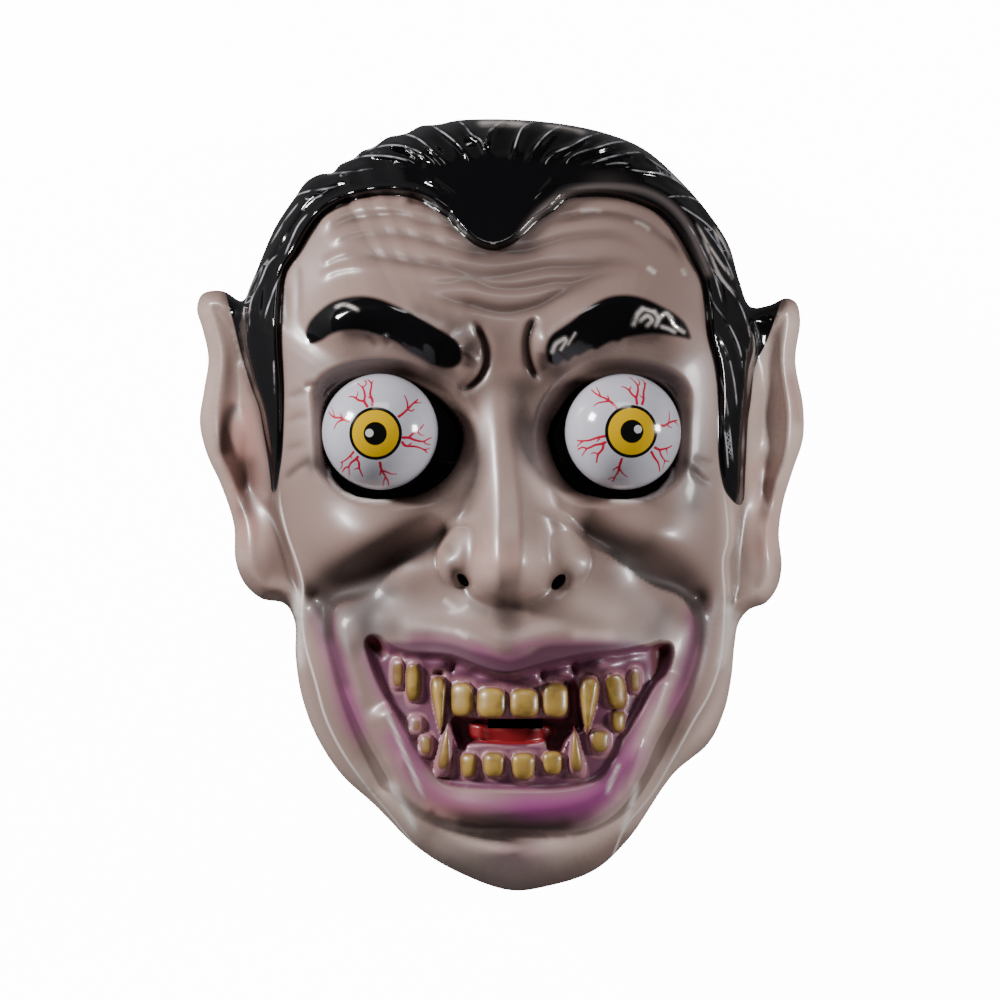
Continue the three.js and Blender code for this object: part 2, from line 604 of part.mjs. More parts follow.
// Eyeball: a ball with a small flat that sits just above the socket plate
function eyeballGeometry() {
  const seatDepth = Math.sqrt(eyeRadius ** 2 - eyeSeat ** 2);
  const start = Math.asin(eyeSeat / eyeRadius);
  const profile = [new THREE.Vector2(0, -seatDepth)];
  for (let k = 0; k <= eyeRings; k += 1) {
    const angle = start + ((Math.PI - start) * k) / eyeRings;
    const radius = k === eyeRings ? 0 : eyeRadius * Math.sin(angle);
    profile.push(new THREE.Vector2(radius, -eyeRadius * Math.cos(angle)));
  }
  const geometry = new THREE.LatheGeometry(profile, eyeSegments);
  geometry.rotateX(Math.PI / 2);
  geometry.deleteAttribute('normal');
  geometry.deleteAttribute('uv');
  const merged = mergeVertices(geometry, 1e-3);
  const kept = [];
  for (let k = 0; k < merged.index.count; k += 3) {
    const [a, b, c] = [0, 1, 2].map((n) => merged.index.getX(k + n));
    if (a !== b && b !== c && c !== a) kept.push(a, b, c);
  }
  merged.setIndex(kept);
  merged.computeVertexNormals();
  return merged.translate(0, 0, plateHeight + eyeGap + seatDepth);
}

function namedMesh(name, geometry, color, roughness) {
  const material = new THREE.MeshStandardMaterial({ color, roughness, metalness: 0 });
  const mesh = new THREE.Mesh(geometry, material);
  mesh.name = name;
  return mesh;
}

const mask = new THREE.Group();
mask.name = 'vampire_mask';
mask.add(namedMesh('mask_shell', toGeometry(shell), 0xa89187, 0.35));
['eyeball_left', 'eyeball_right'].forEach((name, side) => {
  const geometry = eyeballGeometry().translate(eyeCentresX[side], eyeCentreY, 0);
  mask.add(namedMesh(name, geometry, 0xe8e8e6, 0.2));
});

export default mask;
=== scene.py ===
"""A moulded vampire mask lying face up: airbrushed gloss face, slick black hair, printed ball eyes."""

import logging
import math
from dataclasses import dataclass, field
from enum import Enum
from typing import Iterable, Sequence

import bpy
import numpy as np
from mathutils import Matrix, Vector
from mathutils.geometry import delaunay_2d_cdt

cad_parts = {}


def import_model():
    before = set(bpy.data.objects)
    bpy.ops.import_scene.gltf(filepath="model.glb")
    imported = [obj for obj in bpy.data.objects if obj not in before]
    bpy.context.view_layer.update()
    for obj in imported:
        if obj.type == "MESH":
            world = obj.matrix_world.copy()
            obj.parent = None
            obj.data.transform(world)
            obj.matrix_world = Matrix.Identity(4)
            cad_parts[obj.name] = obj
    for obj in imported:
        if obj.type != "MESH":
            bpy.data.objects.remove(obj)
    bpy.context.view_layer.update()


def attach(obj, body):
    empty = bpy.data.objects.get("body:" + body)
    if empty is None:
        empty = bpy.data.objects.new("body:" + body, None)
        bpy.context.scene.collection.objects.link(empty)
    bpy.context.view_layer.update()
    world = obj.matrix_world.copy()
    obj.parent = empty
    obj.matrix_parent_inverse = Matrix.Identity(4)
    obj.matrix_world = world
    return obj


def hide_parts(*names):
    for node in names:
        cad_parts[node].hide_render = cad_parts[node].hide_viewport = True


log = logging.getLogger("mask")
MM = 0.001
Array = np.ndarray
Socket = bpy.types.NodeSocket
Point = tuple[float, float]
Colour = tuple[float, float, float, float]

# Outline of the mask in millimetres, in runs that go clockwise from the left ear
CROWN: list[Point] = [
    (-90, 71), (-87, 77), (-79, 96), (-75, 102.5), (-71.4, 107.6), (-67.8, 112.6), (-63, 115.3),
    (-58.5, 115.8), (-56, 118.6), (-51.1, 120.8), (-48.2, 123.4), (-44.5, 124.6), (-39.2, 128.2),
    (-32.9, 129.5), (-27.7, 132.2), (-22.1, 132.6), (-15, 134.1), (2, 134.5), (21, 133), (37.5, 129.5),
    (50.5, 124), (63.5, 112.5), (73, 101.5), (80, 90.5), (83.5, 78.5), (87.5, 69)]
RIGHT_EAR: list[Point] = [
    (94, 69.5), (100, 72), (103.5, 70.5), (105, 64.5), (103.3, 50), (106, 34.5), (106, 23), (102.5, 12),
    (99, 0.5), (97.5, -10.5), (98.5, -21.5), (97, -29), (93, -34.5), (87, -37)]
RIGHT_TEMPLE: list[Point] = [
    (90.5, 44), (90, 26), (88, 8.5), (87, -9), (85.5, -26.5)]
JAW: list[Point] = [
    (83.5, -41.5), (82, -49.5), (81, -60), (78.5, -72), (73, -83.5), (60.5, -94.5), (45, -117), (33, -128),
    (17, -133.5), (3.5, -135), (-16, -128), (-29.5, -119.5), (-43.5, -105.5), (-55.5, -94.5), (-64.5, -80.5),
    (-69.5, -66.5), (-71.5, -53), (-71.8, -41)]
LEFT_EAR: list[Point] = [
    (-75, -35), (-83.5, -33), (-89.5, -27.5), (-92.5, -19.5), (-93, -7.5), (-97.5, 6.5), (-102.5, 17.5),
    (-105, 28.5), (-103.5, 40), (-102, 51), (-104, 61), (-106, 68.5), (-104, 73.5), (-97, 74.5)]
LEFT_TEMPLE: list[Point] = [
    (-76, -25), (-81, -9), (-86, 8.5), (-89, 26), (-90.5, 47)]
OUTLINE = CROWN + RIGHT_EAR + JAW + LEFT_EAR
HEAD = CROWN + RIGHT_TEMPLE + JAW + LEFT_TEMPLE

# Borders of the painted and moulded areas
HAIR: list[Point] = [
    (-78.6, 5), (-77.4, 11), (-76.3, 19), (-75.8, 38), (-76.9, 58.5), (-76.5, 70.5), (-75, 81), (-71, 87),
    (-66, 95.5), (-62, 100.5), (-56, 104.5), (-48.5, 107), (-40, 108), (-30, 106.9), (-23.8, 103.9),
    (-18.2, 99.9), (-12.2, 93.6), (-7.4, 90), (-2, 88.6), (3, 90.2), (7.6, 93.6), (12.6, 98.6), (18.6, 102.6),
    (23, 106.5), (31, 107.5), (41, 107), (49.5, 104.5), (55.5, 101.5), (60.5, 96.5), (64.5, 90.5),
    (67.5, 84.5), (70.5, 78.5), (72, 69.5), (73, 58.5), (75.5, 49.5), (76.5, 40.5), (76.5, 19), (77.5, 10),
    (79.5, 4), (83.5, 0.5), (84.5, 10), (85.5, 29.5), (86.5, 36), (88, 48), (93, 59), (100, 90), (80, 130),
    (2, 150), (-80, 130), (-97, 90), (-94, 70.5), (-92.5, 65), (-89, 51), (-86, 41.5), (-83, 33.5),
    (-81.5, 25.5), (-80, 17), (-79, 9)]
LEFT_BROW: list[Point] = [
    (-67.2, 55.3), (-67.5, 59.5), (-66.1, 63.3), (-62.6, 67), (-58.8, 69.8), (-53.9, 71.5), (-47.6, 72.1),
    (-41.5, 71), (-35.3, 68.4), (-29.2, 65.3), (-23.1, 61.8), (-18.2, 58.9), (-14.5, 55.9), (-13.1, 52.1),
    (-13.3, 49.5), (-14.7, 47.8), (-17, 46.9), (-20.6, 47.2), (-24.3, 48.6), (-28, 50.6), (-31.7, 52.7),
    (-35.3, 55.4), (-40.2, 57.7), (-43.9, 58.9), (-48.8, 60), (-53.7, 60), (-58.4, 58.7), (-62.2, 56.4)]
RIGHT_BROW: list[Point] = [
    (16.4, 49.2), (15.9, 54.6), (17.7, 58.4), (21.3, 61.1), (24.5, 63.3), (28.2, 66.3), (32.9, 69.6),
    (37.8, 71.8), (44.1, 72.4), (50.2, 71.2), (56.3, 68.4), (61.2, 65.5), (64.4, 62.3), (66.1, 57.2),
    (63.3, 57.6), (58.8, 58.3), (52.7, 58.8), (46.5, 58.1), (42.7, 57.2), (41.1, 56.2), (38.8, 56.2),
    (35.5, 54.6), (33.6, 53.5), (31.5, 53.5), (29.4, 52.5), (27.5, 51.3), (25.7, 51.1), (23.8, 49.3),
    (22, 49.5), (19.9, 47.9), (18.2, 48.3)]
SOCKET: list[Point] = [
    (-61.6, 22.4), (-61.9, 27.6), (-61.2, 33.6), (-58.4, 38.8), (-53.9, 42.3), (-48.3, 44.1), (-42, 44.4),
    (-35.7, 43.8), (-30.1, 42), (-25.2, 39.5), (-20.6, 36.4), (-16.8, 32.5), (-14, 28.3), (-12.8, 23.1),
    (-14.3, 16.1), (-17.5, 10.5), (-21.7, 6.6), (-26.2, 4.2), (-33.2, 2.6), (-40.2, 2.3), (-47.2, 3),
    (-52.5, 4.5), (-56.7, 8), (-59.8, 12.2), (-61.2, 17.1)]
EYE_SLOT: list[Point] = [
    (-59.1, 15), (-15, 15), (-17.8, 9.8), (-22.4, 6.1), (-28.7, 3.3), (-36.4, 1.8), (-43.4, 1.6),
    (-49.7, 2.6), (-54.6, 5.1), (-57.9, 9.1)]
MUZZLE: list[Point] = [
    (-21.7, -13.9), (-26.6, -16.8), (-35, -21.7), (-40.2, -26.6), (-44.8, -31), (-48.6, -32.9), (-56, -35),
    (-57.6, -38.1), (-57, -47.6), (-54.6, -56.3), (-51.8, -65.1), (-48.3, -73.8), (-43.8, -83.3),
    (-38.1, -93.1), (-35, -99.4), (-25.9, -106.8), (-10.5, -111.4), (7, -112.4), (24.5, -111.8),
    (33.6, -108.8), (42, -102.5), (49, -91.3), (53.2, -81.9), (58.8, -71.4), (63.7, -61.6), (66.5, -52.5),
    (67.4, -46.2), (66.8, -39.4), (65, -35), (61.1, -31.5), (53.2, -28.6), (45.8, -24.1), (37.4, -17.8),
    (30.7, -14.7), (21, -5.6), (3.5, -0.3), (-12.2, -5.6)]
MOUTH: list[Point] = [
    (-46.5, -47.9), (-44.8, -45.8), (-41.6, -46.2), (-37.8, -49.3), (-31.8, -51.3), (-24.5, -51.8),
    (-16.6, -52.7), (-9.1, -55.6), (-1.4, -58.1), (4.2, -58.4), (11.1, -56.7), (18.7, -54.6), (30.1, -52),
    (41.4, -50.8), (50.9, -48.8), (55.3, -47.8), (58.8, -48.3), (59.8, -51.4), (57.7, -58.8), (53.4, -63.7),
    (47.9, -73.8), (42.7, -81.9), (38.8, -89.9), (33.9, -95.2), (26.2, -98), (15.7, -99), (3.5, -99),
    (-8.8, -98.7), (-18.5, -97.3), (-23.9, -92.4), (-29.4, -84), (-34.6, -75.2), (-39.5, -67.5),
    (-44.1, -57.4)]
RECESS: list[Point] = [
    (-15.7, -73.1), (-10.5, -73.7), (1.8, -74.2), (15.7, -73.8), (23.4, -73.3), (23.6, -62.3), (25.5, -60.9),
    (27.1, -64.4), (27.3, -70.3), (28.5, -78), (24.8, -79.4), (22.8, -81.9), (21.3, -85.4), (19.2, -86.6),
    (16.8, -85), (15.4, -81.5), (8.8, -82.9), (-7, -82.6), (-11.5, -83.3), (-12.2, -85), (-14.3, -84.3),
    (-15.7, -80.8), (-16.8, -76.3)]
TONGUE: list[Point] = [
    (-11.2, -77.3), (-10.5, -75.8), (-5.6, -76.1), (-4.5, -77), (4.2, -77), (14, -76.5), (16.1, -76.1),
    (18.7, -77.2), (19.4, -78.4), (17.8, -80.5), (14.9, -82.2), (3.5, -83.1), (-7, -82.2), (-10.8, -80.5)]
MOUTH_SLOT: list[Point] = [
    (-4.2, -74.2), (14.8, -74.2), (14.8, -77.6), (-4.2, -77.6)]
BROWN_RING: list[Point] = [
    (-65.2, 38.8), (-62.6, 43.4), (-56.7, 46.9), (-48.3, 49.2), (-39.9, 49.7), (-31.5, 48.6), (-23.8, 45.5),
    (-17.5, 42), (-13.6, 38), (-10.6, 32.6), (-9.2, 25.6), (-9.6, 19.2), (-11.4, 13.2), (-14.6, 7.6),
    (-19.3, 3.3), (-25.2, 0.7), (-33.2, 0), (-40.2, 0.3), (-47.2, 1), (-52.5, 2.8), (-57.4, 5.9),
    (-61.4, 9.6), (-63.2, 13.4), (-63.6, 17.1), (-63.9, 22.4), (-64.3, 29.4), (-64.8, 34.7)]
POCKETS_LEFT: list[Point] = [
    (-46.5, -47.9), (-44.8, -45.8), (-42.3, -46.2), (-39.9, -48.6), (-39.5, -51.4), (-40.9, -53.2),
    (-42.7, -51.8), (-45.1, -50.4)]
POCKETS_RIGHT: list[Point] = [
    (52.8, -49), (55.6, -47.6), (58.4, -48.3), (58.8, -51.1), (57.4, -54.6), (54.9, -58.8), (53.2, -60.2),
    (52.5, -56), (52.1, -51.8)]
LIP_BAND: list[Point] = [
    (-39.9, -48.3), (-32.5, -47.8), (-24.1, -47.6), (-16.6, -48.6), (-9.1, -50.9), (-3.3, -52.5),
    (3.5, -54.2), (9.1, -52.5), (14.9, -49.3), (26.2, -48.6), (37.7, -48.3), (49, -48.6), (51.1, -51.1),
    (42, -55.3), (21, -59.8), (10.5, -63), (0, -63.7), (-10.5, -61.6), (-24.5, -56), (-36.8, -52.8)]
FRONT: list[Point] = [
    (-75.9, 29.4), (-75.8, 22.4), (-75.8, 15), (-76.8, 5.2), (-76.6, -0.7), (-74.2, -10.8), (-71.1, -19.6),
    (-68.9, -28), (-69.4, -38.5), (-68.2, -48.3), (-64.4, -61.9), (-61, -74.2), (-55.4, -85.8),
    (-46.4, -98.7), (-37.8, -109.2), (-30.8, -118.3), (-21, -131.6), (7, -149.1), (35, -131.6),
    (43.8, -112.3), (48.6, -106.8), (53.9, -100.1), (58.4, -92.4), (63, -84), (67.5, -75.6), (72.8, -66.5),
    (76.6, -56), (78, -44.8), (78.4, -32.5), (77.7, -19.6), (79.4, -11.9), (78.2, 2.8), (75.6, 12.6),
    (74.9, 29.4), (91, 71.4), (70, 155.4), (-70, 155.4), (-91, 71.4)]

# Ridge of the nose from the chin side up: distance up the face, then height
NOSE_LINE: list[Point] = [
    (-44, 70), (-38, 75), (-34, 81.5), (-30, 88.5), (-26, 92.6), (-21, 94.6), (-14, 93), (-4, 88.5),
    (8, 83.2), (20, 78.8), (32, 75), (44, 69.5), (56, 62.5), (66, 56)]
# Centre, half sizes and turn of each nostril; centre, half sizes and seat height of each nose wing
NOSTRILS: list[tuple[float, ...]] = [(-12.8, -26.3, 2.7, 1.35, -0.85), (20.2, -26.9, 3.2, 1.8, 0.85)]
NOSE_WINGS: list[tuple[float, ...]] = [(-12.6, -18.6, 9.2, 10.4, 72.5), (21.6, -19.4, 9.8, 10.6, 72.0)]

# Boxes round the whole mask and round the finely moulded face, lower corner and upper corner
MASK_BOX: tuple[Point, Point] = ((-108, -137), (108, 137))
FACE_BOX: tuple[Point, Point] = ((-90, -105), (90, 112))
# A point's x and its mirror image's x add up to this
MIRROR_SUM = 0.35
# Pieces that each stretch of a drawn line is cut into
LINE_STEPS = 5
# Distance that stands for far away from any lock of hair
FAR = 9.0


def srgb(red: float, green: float, blue: float) -> Colour:
    """Turns a screen colour from 0 to 255 into the linear colour that a shader takes."""
    values = [c / 255.0 for c in (red, green, blue)]
    return (*(v / 12.92 if v <= 0.04045 else ((v + 0.055) / 1.055) ** 2.4 for v in values), 1.0)


def mirrored(points: Sequence[Point]) -> list[Point]:
    """The same border on the other side of the face."""
    return [(MIRROR_SUM - x, y) for x, y in points]


def right_eye(points: Sequence[Point]) -> list[Point]:
    """A border of the left eye on the other side, with its inner end nearer the ball."""
    shift, start, run = 3.6, 30, 14
    return [(x + shift * min(max((start - x) / run, 0), 1), y) for x, y in mirrored(points)]


def ramp(low: float, high: float, value: Array) -> Array:
    """Smooth step from 0 at low to 1 at high."""
    share = np.clip((value - low) / (high - low), 0.0, 1.0)
    return share * share * (3.0 - 2.0 * share)


def mix(a: Array | float, b: Array | float, share: Array) -> Array:
    """Straight blend from a to b."""
    return a + (b - a) * share


def soft_max(a: Array, b: Array, blend: float) -> Array:
    """The larger of two heights, rounded over where they meet."""
    share = np.clip(0.5 + (a - b) / (2.0 * blend), 0.0, 1.0)
    return mix(b, a, share) + blend * share * (1.0 - share)


def bell(distance: Array, width: float) -> Array:
    """Rounded bump, 1 at the middle."""
    return np.exp(-((distance / width) ** 2))


def smooth_path(points: Sequence[Point], closed: bool, steps: int) -> Array:
    """Rounds a run of points into a centripetal curve through all of them.

    Args:
        points: Corner points in millimetres.
        closed: Whether the last point joins the first.
        steps: How many pieces each stretch between two points is cut into.

    Returns:
        Array of points, two columns.
    """
    p = np.array(points, float)
    if closed:
        p = np.vstack([p[-1], p, p[0], p[1]])
    else:
        p = np.vstack([2 * p[0] - p[1], p, 2 * p[-1] - p[-2]])
    out = []
    t = np.arange(steps)[:, None] / steps
    for i in range(1, len(p) - 2):
        d0, d1, d2 = (max(np.linalg.norm(p[k + 1] - p[k]) ** 0.5, 1e-4) for k in (i - 1, i, i + 1))
        m1 = ((p[i] - p[i - 1]) / d0 - (p[i + 1] - p[i - 1]) / (d0 + d1) + (p[i + 1] - p[i]) / d1) * d1
        m2 = ((p[i + 1] - p[i]) / d1 - (p[i + 2] - p[i]) / (d1 + d2) + (p[i + 2] - p[i + 1]) / d2) * d1
        a = 2 * p[i] - 2 * p[i + 1] + m1 + m2
        b = -3 * p[i] + 3 * p[i + 1] - 2 * m1 - m2
        out.append(((a * t + b) * t + m1) * t + p[i])
    if not closed:
        out.append(p[-2][None])
    return np.vstack(out)


def even_path(points: Sequence[Point], spacing: float) -> Array:
    """Cuts a closed smooth border into nearly equal steps.

    Args:
        points: Corner points in millimetres.
        spacing: Wanted length of a step.

    Returns:
        Array of points, two columns.
    """
    fine = smooth_path(points, True, 24)
    loop = np.vstack([fine, fine[:1]])
    along = np.concatenate([[0.0], np.cumsum(np.hypot(*np.diff(loop, axis=0).T))])
    count = max(8, round(along[-1] / spacing))
    marks = np.arange(count) * along[-1] / count
    return np.column_stack([np.interp(marks, along, loop[:, k]) for k in (0, 1)])


def path_distance(path: Array, x: Array, y: Array, closed: bool, reach: float = 30.0) -> tuple[Array, Array]:
    """Distance from many places to one path.

    Args:
        path: The path's points.
        x, y: The places.
        closed: Whether the path is a closed border; then the distance is negative inside.
        reach: Farthest distance that matters; places outside the path's box by more than it get this value.

    Returns:
        The distances, and how far along the path the nearest point lies, from 0 to 1.
    """
    low, high = path.min(0) - reach, path.max(0) + reach
    near = (x > low[0]) & (x < high[0]) & (y > low[1]) & (y < high[1])
    px, py = x[near], y[near]
    best = np.full(px.shape, reach * reach)
    place = np.zeros(px.shape)
    odd = np.zeros(px.shape, bool)
    ends = np.roll(path, -1, axis=0) if closed else path[1:]
    count = len(ends)
    for k, ((ax, ay), (bx, by)) in enumerate(zip(path, ends)):
        ex, ey = bx - ax, by - ay
        t = np.clip(((px - ax) * ex + (py - ay) * ey) / max(ex * ex + ey * ey, 1e-9), 0.0, 1.0)
        square = (px - ax - t * ex) ** 2 + (py - ay - t * ey) ** 2
        closer = square < best
        best = np.where(closer, square, best)
        place = np.where(closer, (k + t) / count, place)
        if closed and ay != by:
            odd ^= ((ay > py) != (by > py)) & (px < ax + (py - ay) / (by - ay) * ex)
    distance = np.full(x.shape, reach)
    along = np.zeros(x.shape)
    distance[near] = np.where(odd, -np.sqrt(best), np.sqrt(best))
    along[near] = place
    return distance, along


def stroke(points: Sequence[Point], x: Array, y: Array, reach: float,
           fade: float) -> tuple[Array, Array | float]:
    """Distance to a drawn line, and how much of it is left where its ends fade over that share of it."""
    distance, along = path_distance(smooth_path(points, False, LINE_STEPS), x, y, False, reach)
    return distance, ramp(0, fade, np.minimum(along, 1 - along)) if fade > 0 else 1.0


def store(mesh: bpy.types.Mesh, name: str, values: Array) -> None:
    """Stores one number for each vertex of a mesh."""
    mesh.attributes.new(name, "FLOAT", "POINT").data.foreach_set("value", values.astype(np.float32))


@dataclass
class Area:
    """A closed border, rounded once, with the distance to it."""

    points: Sequence[Point]
    steps: int = 4
    reach: float = 30.0
    path: Array = field(init=False)

    def __post_init__(self) -> None:
        """Rounds the border once."""
        self.path = smooth_path(self.points, True, self.steps)

    def inside(self, x: Array, y: Array) -> Array:
        """Distance in from the border, positive inside."""
        return -path_distance(self.path, x, y, True, self.reach)[0]


@dataclass
class Crease:
    """A groove or, with a positive size, a ridge along a line; it fades toward its ends."""

    points: Sequence[Point]
    size: float
    width: float
    fade: float = 0.2
    sharp: float = 2.0
    crease_shade: float = 0.0

    def shape(self, x: Array, y: Array) -> tuple[Array, Array]:
        """Works out the crease.

        Args:
            x, y: The places.

        Returns:
            The height that it adds at each place, and how strongly brown painted shade is sprayed into it.
        """
        distance, ends = stroke(self.points, x, y, self.width * 3.2, self.fade)
        relief = self.size * np.exp(-((distance / self.width) ** self.sharp)) * ends
        return relief, self.crease_shade * bell(distance, self.width * 0.95) * ends


@dataclass
class Mound:
    """A soft oval bulge, or a hollow with a negative size."""

    cx: float
    cy: float
    rx: float
    ry: float
    size: float
    turn: float = 0.0

    def height(self, x: Array, y: Array) -> Array:
        """Works out the height that the bulge adds.

        Args:
            x, y: The places.

        Returns:
            The added height at each place.
        """
        c, s = math.cos(self.turn), math.sin(self.turn)
        u = ((x - self.cx) * c + (y - self.cy) * s) / self.rx
        v = (-(x - self.cx) * s + (y - self.cy) * c) / self.ry
        return self.size * np.exp(-np.minimum(u * u + v * v, 30.0))


@dataclass
class Tooth:
    """One moulded tooth: a rounded block, or a fang that tapers down (+1) or up (-1)."""

    cx: float
    cy: float
    width: float
    height: float
    taper: float = 0.0
    lift: float = 1.0
    lean: float = 0.0
    inset: float = 0.6

    def body(self, x: Array, y: Array) -> Array:
        """Works out which places the tooth covers.

        Args:
            x, y: The places.

        Returns:
            Signed share of the tooth's body, positive inside and 1 at its middle.
        """
        tip_share, tip_curve, side_power, end_power = 0.14, 1.15, 2.7, 3.2
        v = (y - self.cy) / (self.height / 2)
        along = (1 - v) / 2 if self.taper >= 0 else (1 + v) / 2
        half = self.width / 2 * mix(1.0, tip_share, abs(self.taper) * np.clip(along, 0, 1) ** tip_curve)
        u = (x - self.cx - self.lean * (y - self.cy)) / half
        return 1 - np.abs(u) ** side_power - np.abs(v) ** end_power


@dataclass
class Spray:
    """One airbrush stroke along a line, soft across and fading at its ends."""

    points: Sequence[Point]
    width: float
    strength: float
    fade: float = 0.2

    def cover(self, x: Array, y: Array) -> Array:
        """How much paint the stroke leaves at each place, from 0 to its strength."""
        distance, ends = stroke(self.points, x, y, self.width * 3, self.fade)
        return self.strength * bell(distance, self.width) * ends


